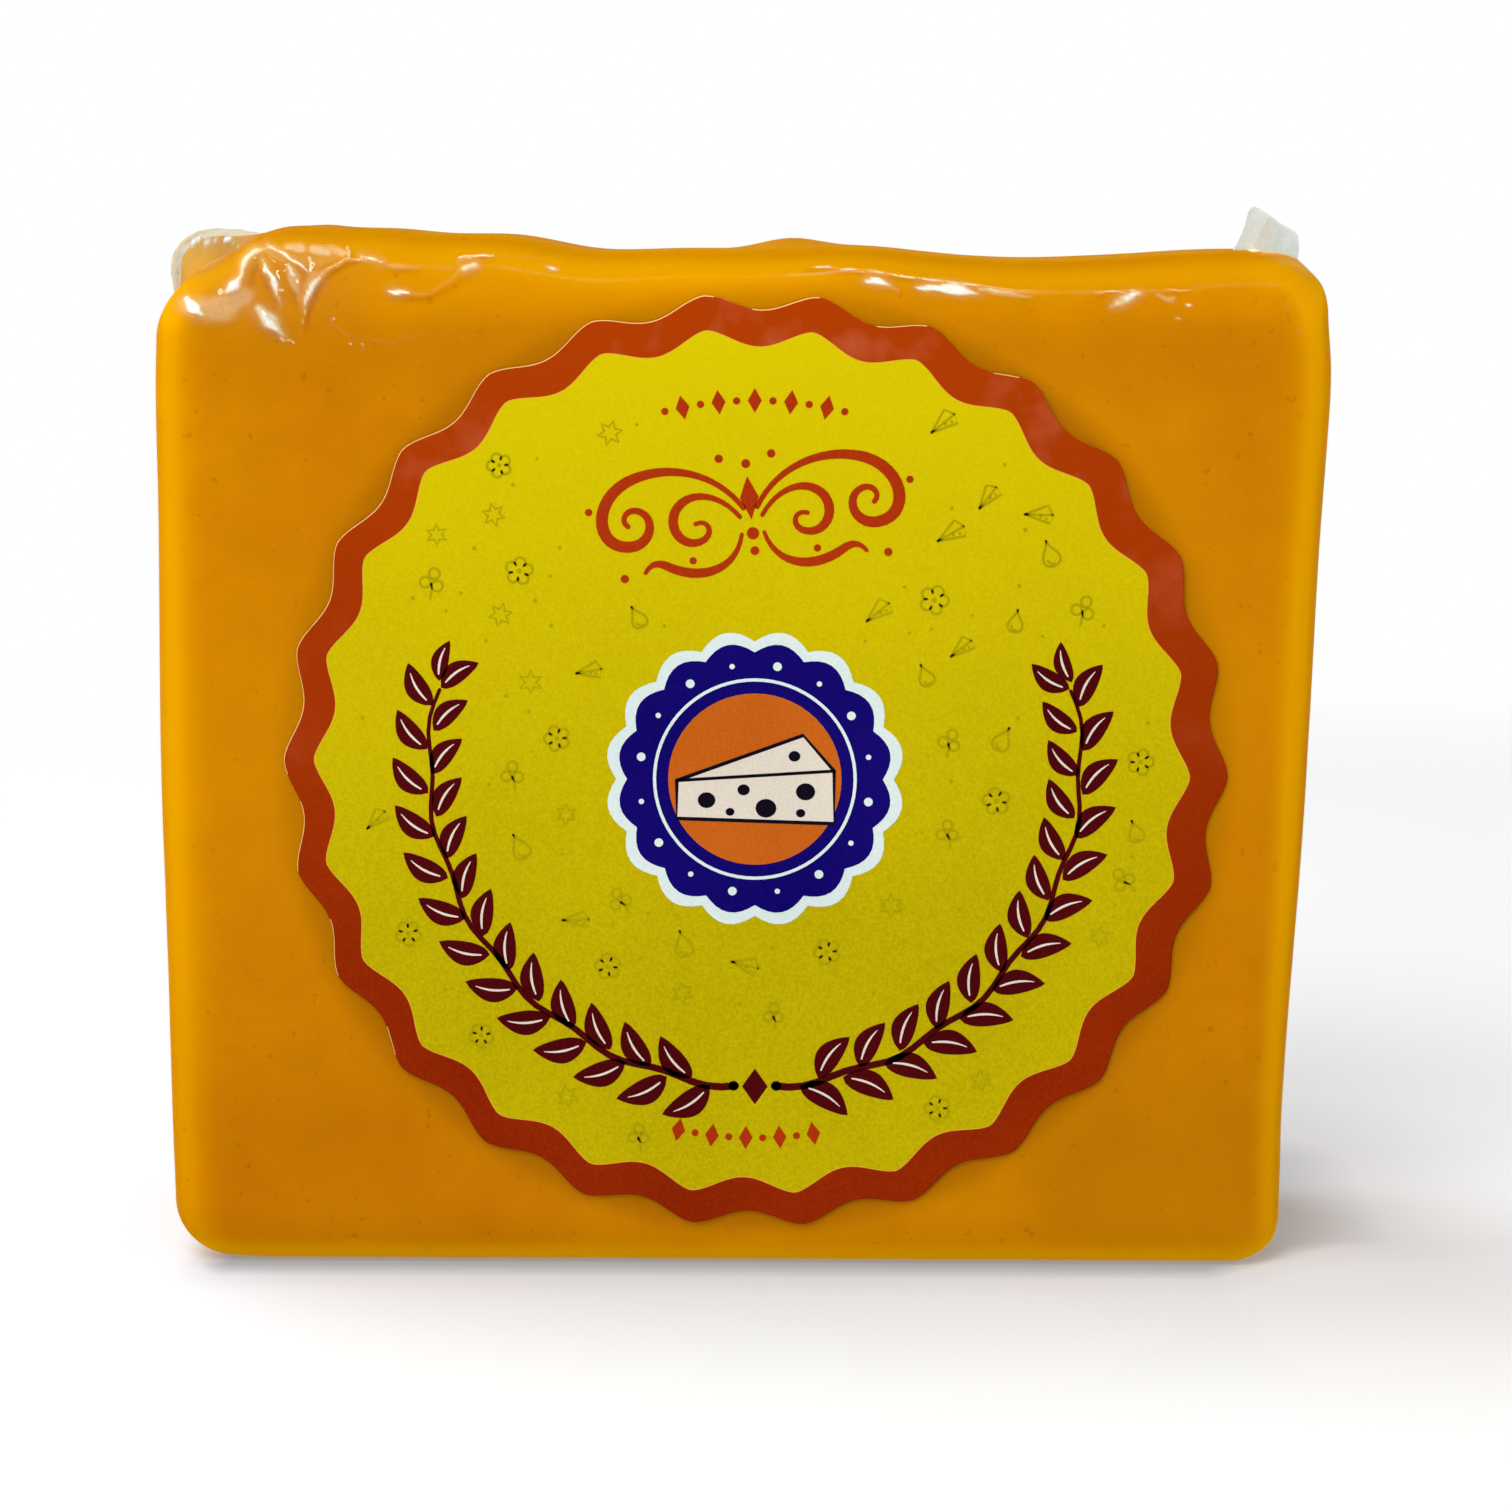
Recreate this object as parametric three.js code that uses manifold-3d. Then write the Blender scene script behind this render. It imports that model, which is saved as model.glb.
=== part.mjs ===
// A small block of orange cheddar in shrunk clear film, with a round scalloped label on its front.
// Millimetres, +Z up. The block stands on its narrow lower side, and its labelled front looks along -Y.
import * as THREE from "three";
import Module from "manifold-3d";
import { mergeVertices } from "three/addons/utils/BufferGeometryUtils.js";

// ---- driving dimensions ----
const BLOCK_WIDTH = 94.0; // across the front, before the side faces' own taper
const BLOCK_HEIGHT = 83.0; // floor to the top, before the hump on the top's left half
const BLOCK_THICKNESS = 27.4; // front to back
const EDGE = { x: 4.8, y: 3.2, z: 4.8 }; // how far the rounding of the edges and corners reaches in along each axis

const LABEL_TIP_RADIUS = 38.1; // a 3 inch label, to the tips of its scallops
const LABEL_SCALLOPS = 26;
const LABEL_SCALLOP_DEPTH = 1.33;
const LABEL_TURN_DEG = 13.0; // first tip, from +X
const LABEL_THICKNESS = 0.2;
const LABEL_GAP = 0.05; // between the film and the back of the label
const LABEL_CENTRE = { x: 1.42, z: 41.8 };

const EAR_BASE_Z = 80.4; // the upright end of film that stands on the top's right end
const EAR_LEFT = 40.9;
const EAR_RIGHT = 46.2;
const EAR_TOP_LEFT = { x: 42.1, z: 86.6 };
const EAR_TOP_RIGHT = { x: 46.1, z: 84.4 };
const EAR_DEPTH = 1.2; // how far behind the mid plane it stands
const EAR_THICKNESS = 0.8;

// Broad swells and hollows of the outline: centre, half width, rise.
const TOP_LEVEL = -1.29;
const TOP_SLOPE = 1.6; // added from the left end to the right end, half each way
const TOP_SWELLS = [
  [-32.0, 9.0, 4.27], // the hump over the left third
  [-38.5, 2.4, 1.34],
  [-35.3, 1.9, 0.51],
  [-31.0, 2.6, -0.22],
  [-43.5, 3.2, 0.6],
  [-41.6, 1.2, 0.26],
  [-19.0, 7.0, 2.53],
  [-6.0, 8.0, 1.4],
  [8.0, 9.0, 1.31],
  [25.0, 9.0, -0.27],
  [38.0, 5.0, 0.04],
  [41.5, 2.5, 0.18],
  [43.6, 0.9, 0.45],
  [45.3, 0.9, -0.42],
  [47.5, 3.5, -0.49],
];
const LEFT_SWELLS = [
  [79.0, 4.0, 0.17],
  [40.0, 14.0, -0.26],
  [4.0, 5.0, 0.15],
];
const RIGHT_FOOT = -2.8; // the right side leans in towards the foot
const RIGHT_LEAN = 3.98;
const RIGHT_SWELLS = [
  [79.0, 4.0, -0.69],
  [60.0, 9.0, -0.1],
  [36.0, 12.0, 0.2],
  [5.0, 6.0, 0.31],
  [0.8, 2.6, 0.8],
];
// the back left top corner stands higher and further out than the pressed-in front one
const BACK_CORNER = { x: -48.8, width: 6.57, rise: 5.95, out: 1.7, z: 79.9, height: 3.33 };
const TOP_KNOB = { x: 3.8, width: 3.4, y: 5.0, depth: 5.0, rise: 0.85 }; // a small rise behind the top's front edge, near the middle
const SHOULDER = { from: 76.0, run: 8.0, back: 0.9 }; // the front's upper edge falls back, clear of the label
const FOOT_LEFT = { from: 38.0, run: 9.0, rise: 0.35 }; // the lower left corner lifts off the flat it stands on

const CELLS = { x: 26, y: 6, z: 23, edge: 4 }; // facets along each side and round each edge

// ---- small helpers ----
const half = { x: BLOCK_WIDTH / 2, y: BLOCK_THICKNESS / 2, z: BLOCK_HEIGHT / 2 };
const clamp = (v, lo, hi) => Math.min(hi, Math.max(lo, v));
const smooth = (t) => {
  const c = clamp(t, 0, 1);
  return c * c * (3 - 2 * c);
};
const bell = (v, centre, width) => Math.exp(-(((v - centre) / width) ** 2));
const swell = (v, list) =>
  list.reduce((sum, [c, w, rise]) => sum + rise * bell(v, c, w), 0);

// Grid lines along one side: equal steps on the flat, equal angles round the two edges.
function gridLines(axis) {
  const inner = half[axis] - EDGE[axis];
  const flat = Array.from({ length: CELLS[axis] + 1 }, (_, i) => -inner + (2 * inner * i) / CELLS[axis]);
  const edge = [];
  for (let i = 1; i <= CELLS.edge; i++)
    edge.push(inner + EDGE[axis] * Math.tan((Math.PI / 4) * (i / CELLS.edge)));
  return [...edge.map((v) => -v).reverse(), ...flat, ...edge];
}

// A point on a box's surface, moved onto the rounded box.
function rounded(p) {
  const radii = new THREE.Vector3(EDGE.x, EDGE.y, EDGE.z);
  const inner = new THREE.Vector3(half.x, half.y, half.z).sub(radii);
  const core = p.clone().clamp(inner.clone().negate(), inner);
  const out = p.clone().sub(core).divide(radii).normalize();
  return out.multiply(radii).add(core);
}

// The rounded box, moved to the block's own uneven outline. z is counted from the foot.
function blockSurface(p) {
  const at = rounded(p);
  const x = at.x,
    y = at.y,
    z = at.z + half.z;
  const across = (x + half.x) / BLOCK_WIDTH,
    up = z / BLOCK_HEIGHT;
  const behind = smooth((y - 1) / 6);
  const topRise =
    TOP_LEVEL +
    (TOP_SLOPE * x) / half.x +
    swell(x, TOP_SWELLS) +
    BACK_CORNER.rise * behind * bell(x, BACK_CORNER.x, BACK_CORNER.width) +
    TOP_KNOB.rise * bell(x, TOP_KNOB.x, TOP_KNOB.width) * bell(y, TOP_KNOB.y, TOP_KNOB.depth);
  const footRise =
    FOOT_LEFT.rise * smooth((-x - FOOT_LEFT.from) / FOOT_LEFT.run);
  const leftIn =
    swell(z, LEFT_SWELLS) -
    BACK_CORNER.out * behind * bell(z, BACK_CORNER.z, BACK_CORNER.height);
  const rightOut = RIGHT_FOOT + RIGHT_LEAN * up + swell(z, RIGHT_SWELLS);
  const moved = new THREE.Vector3(
    x + (1 - across) ** 3 * leftIn + across ** 3 * rightOut,
    y,
    z + up ** 4 * topRise + (1 - up) ** 6 * footRise,
  );
  // the shoulder keeps clear of the label's own width
  const besideLabel = 1 - bell(x, LABEL_CENTRE.x, 17);
  const inFront = clamp(-y / half.y, 0, 1);
  moved.y +=
    SHOULDER.back * inFront * besideLabel * smooth((z - SHOULDER.from) / SHOULDER.run);
  return moved;
}

// Collects triangles over shared vertices.
class Skin {
  constructor() {
    this.points = [];
    this.faces = [];
    this.known = new Map();
  }
  vertex(key, make) {
    if (!this.known.has(key)) {
      this.known.set(key, this.points.length);
      this.points.push(make());
    }
    return this.known.get(key);
  }
  quad(a, b, c, d) {
    this.faces.push([a, b, c], [a, c, d]);
  }
  geometry() {
    const g = new THREE.BufferGeometry();
    g.setAttribute(
      "position",
      new THREE.Float32BufferAttribute(this.points.flatMap((p) => p.toArray()), 3),
    );
    g.setIndex(this.faces.flat());
    return g;
  }
}

function blockGeometry() {
  const lines = [
    gridLines("x"),
    gridLines("y"),
    gridLines("z"),
  ];
  const skin = new Skin();
  const key = (p) => p.map((v) => v.toFixed(5)).join(",");
  for (let axis = 0; axis < 3; axis++) {
    const u = (axis + 1) % 3,
      v = (axis + 2) % 3;
    for (const sign of [-1, 1])
      for (let i = 0; i + 1 < lines[u].length; i++)
        for (let j = 0; j + 1 < lines[v].length; j++) {
          const corner = (di, dj) => {
            const p = [0, 0, 0];
            p[axis] = sign * [half.x, half.y, half.z][axis];
            p[u] = lines[u][i + di];
            p[v] = lines[v][j + dj];
            return skin.vertex(key(p), () => blockSurface(new THREE.Vector3(...p)));
          };
          const ring = [corner(0, 0), corner(1, 0), corner(1, 1), corner(0, 1)];
          if (sign > 0) skin.quad(...ring);
          else skin.quad(...ring.reverse());
        }
  }
  return skin.geometry();
}

// The fin of film: a thin leaf with a slanting free edge, creased from foot to tip.
function earGeometry() {
  const across = 8,
    up = 6;
  const skin = new Skin();
  const leaf = (i, j, face) => {
    const s = i / across,
      t = j / up;
    const foot = THREE.MathUtils.lerp(EAR_LEFT, EAR_RIGHT, s);
    const tipX = THREE.MathUtils.lerp(EAR_TOP_LEFT.x, EAR_TOP_RIGHT.x, s);
    const tipZ =
      THREE.MathUtils.lerp(EAR_TOP_LEFT.z, EAR_TOP_RIGHT.z, s) -
      0.35 * Math.sin(Math.PI * s);
    const crease = 0.55 * t * Math.sin(2.6 * Math.PI * s + 0.4);
    return skin.vertex([i, j, face].join(), () =>
      new THREE.Vector3(
        THREE.MathUtils.lerp(foot, tipX, t),
        EAR_DEPTH + crease + (face * EAR_THICKNESS) / 2,
        THREE.MathUtils.lerp(EAR_BASE_Z, tipZ, t),
      ),
    );
  };
  for (let i = 0; i < across; i++)
    for (let j = 0; j < up; j++) {
      skin.quad(leaf(i, j, -1), leaf(i + 1, j, -1), leaf(i + 1, j + 1, -1), leaf(i, j + 1, -1));
      skin.quad(leaf(i, j, 1), leaf(i, j + 1, 1), leaf(i + 1, j + 1, 1), leaf(i + 1, j, 1));
    }
  for (let i = 0; i < across; i++) {
    skin.quad(leaf(i, 0, -1), leaf(i, 0, 1), leaf(i + 1, 0, 1), leaf(i + 1, 0, -1));
    skin.quad(leaf(i, up, -1), leaf(i + 1, up, -1), leaf(i + 1, up, 1), leaf(i, up, 1));
  }
  for (let j = 0; j < up; j++) {
    skin.quad(leaf(0, j, -1), leaf(0, j + 1, -1), leaf(0, j + 1, 1), leaf(0, j, 1));
    skin.quad(leaf(across, j, -1), leaf(across, j, 1), leaf(across, j + 1, 1), leaf(across, j + 1, -1));
  }
  return skin.geometry();
}

// The label's outline: rounded points with a hollow between each two.
function labelShape(steps = 8) {
  const outline = [];
  for (let k = 0; k < LABEL_SCALLOPS; k++)
    for (let i = 0; i < steps; i++) {
      const f = i / steps;
      const hollow = Math.sin(Math.PI * f) ** 1.65; // 0 at the tips, 1 between them
      const r = LABEL_TIP_RADIUS - LABEL_SCALLOP_DEPTH * hollow;
      const a =
        THREE.MathUtils.degToRad(LABEL_TURN_DEG) +
        ((k + f) * 2 * Math.PI) / LABEL_SCALLOPS;
      outline.push(new THREE.Vector2(r * Math.cos(a), r * Math.sin(a)));
    }
  return new THREE.Shape(outline);
}

// ---- joining ----
const wasm = await Module();
wasm.setup();
function solid(geometry) {
  geometry.deleteAttribute("normal");
  geometry.deleteAttribute("uv");
  const g = mergeVertices(geometry, 1e-5);
  return new wasm.Manifold(
    new wasm.Mesh({
      numProp: 3,
      vertProperties: new Float32Array(g.attributes.position.array),
      triVerts: new Uint32Array(g.index.array),
    }),
  );
}
function geometryOf(made) {
  const m = made.getMesh();
  const g = new THREE.BufferGeometry();
  g.setAttribute(
    "position",
    new THREE.BufferAttribute(new Float32Array(m.vertProperties), 3),
  );
  g.setIndex(new THREE.BufferAttribute(new Uint32Array(m.triVerts), 1));
  return g;
}

// ---- the two pieces ----
const waxyOrange = new THREE.MeshStandardMaterial({
  color: 0xcf8502,
  roughness: 0.32,
  metalness: 0,
});
const labelYellow = new THREE.MeshStandardMaterial({
  color: 0xd2c800,
  roughness: 0.42,
  metalness: 0,
});

const wrappedBlock = new THREE.Mesh(
  geometryOf(solid(blockGeometry()).add(solid(earGeometry()))),
  waxyOrange,
);
wrappedBlock.name = "wrapped_block";

const label = new THREE.Mesh(
  new THREE.ExtrudeGeometry(labelShape(), {
    depth: LABEL_THICKNESS,
    bevelEnabled: false,
  }),
  labelYellow,
);
label.name = "label";
label.rotation.x = Math.PI / 2; // drawn flat, then stood up facing -Y
label.position.set(
  LABEL_CENTRE.x,
  -half.y - LABEL_GAP,
  LABEL_CENTRE.z,
);

const pieces = new THREE.Group();
pieces.add(wrappedBlock, label);

// The origin lies under the middle of the whole, on the flat that it stands on.
const part = new THREE.Group();
part.name = "cheddar_block";
part.add(pieces);
part.updateMatrixWorld(true);
const box = new THREE.Box3().setFromObject(pieces, true);
pieces.position.set(
  -(box.min.x + box.max.x) / 2,
  -(box.min.y + box.max.y) / 2,
  -box.min.z,
);

export default part;
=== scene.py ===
import math

import bpy
import numpy as np
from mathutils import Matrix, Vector
from mathutils.geometry import tessellate_polygon


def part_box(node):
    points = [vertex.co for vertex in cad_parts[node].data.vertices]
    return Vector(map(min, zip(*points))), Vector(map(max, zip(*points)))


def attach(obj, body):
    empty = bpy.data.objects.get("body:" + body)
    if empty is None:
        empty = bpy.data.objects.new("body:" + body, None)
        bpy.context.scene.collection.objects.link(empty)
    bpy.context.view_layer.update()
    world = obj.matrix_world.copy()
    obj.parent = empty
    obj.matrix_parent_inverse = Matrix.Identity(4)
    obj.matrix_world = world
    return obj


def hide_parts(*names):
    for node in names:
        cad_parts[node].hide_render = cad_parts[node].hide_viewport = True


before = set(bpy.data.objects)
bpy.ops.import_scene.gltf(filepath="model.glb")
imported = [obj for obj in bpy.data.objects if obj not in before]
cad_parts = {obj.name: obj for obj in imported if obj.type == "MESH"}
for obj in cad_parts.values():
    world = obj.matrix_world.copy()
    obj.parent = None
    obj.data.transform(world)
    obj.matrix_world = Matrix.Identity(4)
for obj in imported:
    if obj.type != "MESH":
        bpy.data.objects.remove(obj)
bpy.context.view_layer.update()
scene = bpy.context.scene
scene.view_settings.view_transform = "Standard"
scene.view_settings.look = "None"
scene.view_settings.exposure = 0.0
scene.view_settings.gamma = 1.0

MM = 0.001

# ---------------------------------------------------------------- the block's own frame, in millimetres
WIDTH, HEIGHT, THICK = 94.0, 83.0, 27.4
EDGE = np.array([4.8, 3.2, 4.8])
HALF = np.array([WIDTH / 2, THICK / 2, HEIGHT / 2])
LABEL_X, LABEL_Z, TIP_R, SCALLOPS, SCALLOP_DEPTH, TURN = 1.42, 41.8, 38.1, 26, 1.33, 13.0
LABEL_BACK, LABEL_FACE = -13.75, -13.95

low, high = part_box("label")
SHIFT = np.array([
    (low.x + high.x) / 2 / MM - LABEL_X,
    high.y / MM - LABEL_BACK,
    (low.z + high.z) / 2 / MM - LABEL_Z,
])


def metres(p):
    return (np.asarray(p, float) + SHIFT) * MM


# ---------------------------------------------------------------- numbers and small helpers
rng = np.random.default_rng(11)


def smooth(t):
    c = np.clip(t, 0, 1)
    return c * c * (3 - 2 * c)


def bell(v, centre, width):
    return np.exp(-(((v - centre) / width) ** 2))


def swell(v, rows):
    return sum(rise * bell(v, c, w) for c, w, rise in rows)


class Waves:
    """Smooth unevenness: a sum of sines in fixed directions, about -1 to 1."""

    def __init__(self, seed, scale, count=14):
        r = np.random.default_rng(seed)
        d = r.normal(size=(count, 3))
        self.k = d / np.linalg.norm(d, axis=1)[:, None] * (2 * np.pi / scale) * r.uniform(0.6, 1.7, count)[:, None]
        self.phase = r.uniform(0, 2 * np.pi, count)

    def __call__(self, p):
        return np.sin(p @ self.k.T + self.phase).sum(1) / math.sqrt(len(self.phase)) * 0.9


# ---------------------------------------------------------------- the outline, as in the solid
TOP_LEVEL, TOP_SLOPE = -1.29, 1.6
TOP_SWELLS = [(-32, 9, 4.27), (-38.5, 2.4, 1.34), (-35.3, 1.9, 0.51), (-31, 2.6, -0.22), (-43.5, 3.2, 0.60), (-41.6, 1.2, 0.26), (-19, 7, 2.53),
              (-6, 8, 1.4), (8, 9, 1.31), (25, 9, -0.27), (38, 5, 0.04), (43.2, 1.6, -0.14),
              (45.2, 1.1, -0.38), (47.5, 3.5, -0.49)]
LEFT_SWELLS = [(79, 4, 0.17), (40, 14, -0.26), (4, 5, 0.15)]
RIGHT_FOOT, RIGHT_LEAN = -2.8, 3.98
RIGHT_SWELLS = [(79, 4, -0.69), (60, 9, -0.1), (36, 12, 0.2), (5, 6, 0.31), (0.8, 2.6, 0.8)]
BACK_X, BACK_W, BACK_Z, BACK_H = -48.8, 6.57, 79.9, 3.33


def rounded(p):
    inner = HALF - EDGE
    core = np.clip(p, -inner, inner)
    out = p - core
    out /= EDGE
    out /= np.linalg.norm(out, axis=1)[:, None]
    return core + EDGE * out, out


def block(p, back_rise=5.95, back_out=1.7):
    """Points on the box's surface, moved to the block's uneven outline; z is counted from the foot."""
    at, out = rounded(p)
    x, y, z = at[:, 0].copy(), at[:, 1].copy(), at[:, 2] + HALF[2]
    across, up = (x + HALF[0]) / WIDTH, z / HEIGHT
    behind = smooth((y - 1) / 6)
    top = TOP_LEVEL + TOP_SLOPE * x / HALF[0] + swell(x, TOP_SWELLS) + back_rise * behind * bell(x, BACK_X, BACK_W)
    top = top + 0.85 * bell(x, 3.8, 3.4) * bell(y, 5, 5)
    foot = 0.35 * smooth((-x - 38) / 9)
    left = swell(z, LEFT_SWELLS) - back_out * behind * bell(z, BACK_Z, BACK_H)
    right = RIGHT_FOOT + RIGHT_LEAN * up + swell(z, RIGHT_SWELLS)
    v = np.stack([
        x + (1 - across) ** 3 * left + across ** 3 * right,
        y,
        z + up ** 4 * top + (1 - up) ** 6 * foot,
    ], 1)
    beside = 1 - bell(x, LABEL_X, 17)
    v[:, 1] += 0.9 * np.clip(-y / HALF[1], 0, 1) * beside * smooth((z - 76) / 8)
    return v, out


def edge_lines(axis, flat, low, high):
    """Grid lines along one axis: those given on the flat, and low and high steps round the two edges."""
    edge = lambda cells: HALF[axis] - EDGE[axis] + EDGE[axis] * np.tan(np.pi / 4 * np.arange(1, cells + 1) / cells)
    return np.concatenate([-edge(low)[::-1], flat, edge(high)])


def stretch(start, end, step):
    n = max(1, int(round((end - start) / step)))
    return np.linspace(start, end, n + 1)


def joined(*parts):
    return np.unique(np.round(np.concatenate(parts), 5))


def box_grid(lines):
    pts, quads, n0 = [], [], 0
    for axis in range(3):
        u, v = (axis + 1) % 3, (axis + 2) % 3
        for sign in (-1, 1):
            a, b = np.meshgrid(lines[u], lines[v], indexing="ij")
            p = np.zeros(a.shape + (3,))
            p[..., axis], p[..., u], p[..., v] = sign * HALF[axis], a, b
            i = n0 + np.arange(a.size).reshape(a.shape)
            n0 += a.size
            q = np.stack([i[:-1, :-1], i[1:, :-1], i[1:, 1:], i[:-1, 1:]], -1).reshape(-1, 4)
            quads.append(q if sign > 0 else q[:, ::-1])
            pts.append(p.reshape(-1, 3))
    p, q = np.concatenate(pts), np.concatenate(quads)
    _, first, inv = np.unique(np.round(p, 4), axis=0, return_index=True, return_inverse=True)
    return p[first], inv.reshape(-1)[q]


def normals(v, q):
    n = np.zeros_like(v)
    c = np.cross(v[q[:, 2]] - v[q[:, 0]], v[q[:, 3]] - v[q[:, 1]])
    for k in range(4):
        np.add.at(n, q[:, k], c)
    return n / np.maximum(np.linalg.norm(n, axis=1), 1e-12)[:, None]


# ---------------------------------------------------------------- making objects
def new_mesh(name, points, faces, material, smooth_shade=True, in_mm=True, indices=None):
    """faces: an array of equal faces or a list of tuples. material: one, or a list with indices per face."""
    me = bpy.data.meshes.new(name)
    co = metres(points) if in_mm else np.asarray(points, float)
    faces = [tuple(int(i) for i in f) for f in faces]
    me.from_pydata([tuple(c) for c in co], [], faces)
    me.validate()
    for m in (material if isinstance(material, list) else [material]):
        me.materials.append(m)
    if indices is not None:
        me.polygons.foreach_set("material_index", np.asarray(indices, np.int32))
    me.polygons.foreach_set("use_smooth", np.full(len(me.polygons), smooth_shade))
    me.update()
    ob = bpy.data.objects.new(name, me)
    scene.collection.objects.link(ob)
    return ob


def attribute(ob, name, values):
    a = ob.data.attributes.new(name, "FLOAT", "POINT")
    a.data.foreach_set("value", np.asarray(values, np.float32))


# ---------------------------------------------------------------- material helpers
def lin(r, g, b):
    f = lambda c: c / 255 / 12.92 if c <= 10.31475 else ((c / 255 + 0.055) / 1.055) ** 2.4
    return (f(r), f(g), f(b), 1.0)


class Nodes:
    def __init__(self, name):
        self.m = bpy.data.materials.new(name)
        self.m.use_nodes = True
        self.t = self.m.node_tree
        self.t.nodes.clear()
        self.out = self.t.nodes.new("ShaderNodeOutputMaterial")

    def add(self, kind, **kw):
        n = self.t.nodes.new("ShaderNode" + kind)
        for k, v in kw.items():
            setattr(n, k, v)
        return n

    def link(self, a, b):
        self.t.links.new(a, b)

    def coords(self):
        return self.add("TexCoord").outputs["Object"]

    def noise(self, coords, scale, detail=2.0, rough=0.5, distortion=0.0):
        n = self.add("TexNoise")
        n.inputs["Scale"].default_value = scale
        n.inputs["Detail"].default_value = detail
        n.inputs["Roughness"].default_value = rough
        n.inputs["Distortion"].default_value = distortion
        self.link(coords, n.inputs["Vector"])
        return n.outputs["Fac"]

    def ramp(self, fac, stops, mode="LINEAR"):
        n = self.add("ValToRGB")
        n.color_ramp.interpolation = mode
        e = n.color_ramp.elements
        e[0].position, e[0].color = stops[0]
        e[1].position, e[1].color = stops[1]
        for p, c in stops[2:]:
            s = e.new(p)
            s.color = c
        self.link(fac, n.inputs["Fac"])
        return n.outputs["Color"]

    def mix(self, fac, a, b, blend="MIX"):
        n = self.add("Mix", data_type="RGBA", blend_type=blend)
        for sock, v in ((n.inputs[0], fac), (n.inputs[6], a), (n.inputs[7], b)):
            if isinstance(v, bpy.types.NodeSocket):
                self.link(v, sock)
            else:
                sock.default_value = v
        return n.outputs[2]

    def math(self, op, a, b=0.0, c=0.0, clamp=False):
        n = self.add("Math", operation=op, use_clamp=clamp)
        for sock, v in zip(n.inputs, (a, b, c)):
            if isinstance(v, bpy.types.NodeSocket):
                self.link(v, sock)
            else:
                sock.default_value = v
        return n.outputs[0]

    def bump(self, height, strength, distance):
        n = self.add("Bump")
        n.inputs["Strength"].default_value = strength
        n.inputs["Distance"].default_value = distance
        self.link(height, n.inputs["Height"])
        return n.outputs["Normal"]


grey = lambda v: (v, v, v, 1.0)


def cheese_material():
    n = Nodes("cheddar_body")
    co = n.coords()
    broad = n.noise(co, 34, 3, 0.55)
    curd = n.noise(co, 210, 3, 0.6, 0.6)
    fine = n.noise(co, 1100, 2, 0.5)
    face = n.ramp(broad, [(0.22, lin(217, 133, 0)), (0.78, lin(228, 151, 0))], "EASE")
    curdy = n.ramp(curd, [(0.30, grey(0.90)), (0.72, grey(1.0))])
    toned = n.mix(0.9, face, curdy, "MULTIPLY")
    speck = n.ramp(fine, [(0.27, lin(176, 96, 0)), (0.32, grey(1.0))])
    toned = n.mix(0.30, toned, speck, "MULTIPLY")
    # painted shade: a darker, olive colour round the label's rim, low on the right and under the top's rim
    beside = n.add("Attribute", attribute_name="beside").outputs["Fac"]
    toned = n.mix(beside, toned, lin(192, 120, 0))
    # painted light: the edge attribute makes the colour paler and more golden towards the edges
    edge = n.add("Attribute", attribute_name="edge").outputs["Fac"]
    lit = n.mix(edge, toned, lin(240, 169, 0))
    # painted shade: the top's colour is darkened towards grey 212 wherever the attribute is low
    outside_painted_top_shade = n.add("Attribute", attribute_name="outside_painted_top_shade").outputs["Fac"]
    lit = n.mix(outside_painted_top_shade, n.mix(1.0, lit, lin(212, 212, 212), "MULTIPLY"), lit)
    p = n.add("BsdfPrincipled")
    n.link(lit, p.inputs["Base Color"])
    p.inputs["Subsurface Weight"].default_value = 0.35
    p.inputs["Subsurface Radius"].default_value = (1.0, 0.42, 0.08)
    p.inputs["Subsurface Scale"].default_value = 0.0028
    p.inputs["Specular IOR Level"].default_value = 0.0
    rough = n.ramp(curd, [(0.3, grey(0.50)), (0.7, grey(0.62))])
    n.link(rough, p.inputs["Roughness"])
    h = n.math("ADD", n.math("MULTIPLY", curd, 0.7), n.math("MULTIPLY", fine, 0.3))
    n.link(n.bump(h, 0.3, 0.0002), p.inputs["Normal"])
    n.link(p.outputs[0], n.out.inputs["Surface"])
    return n.m


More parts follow.
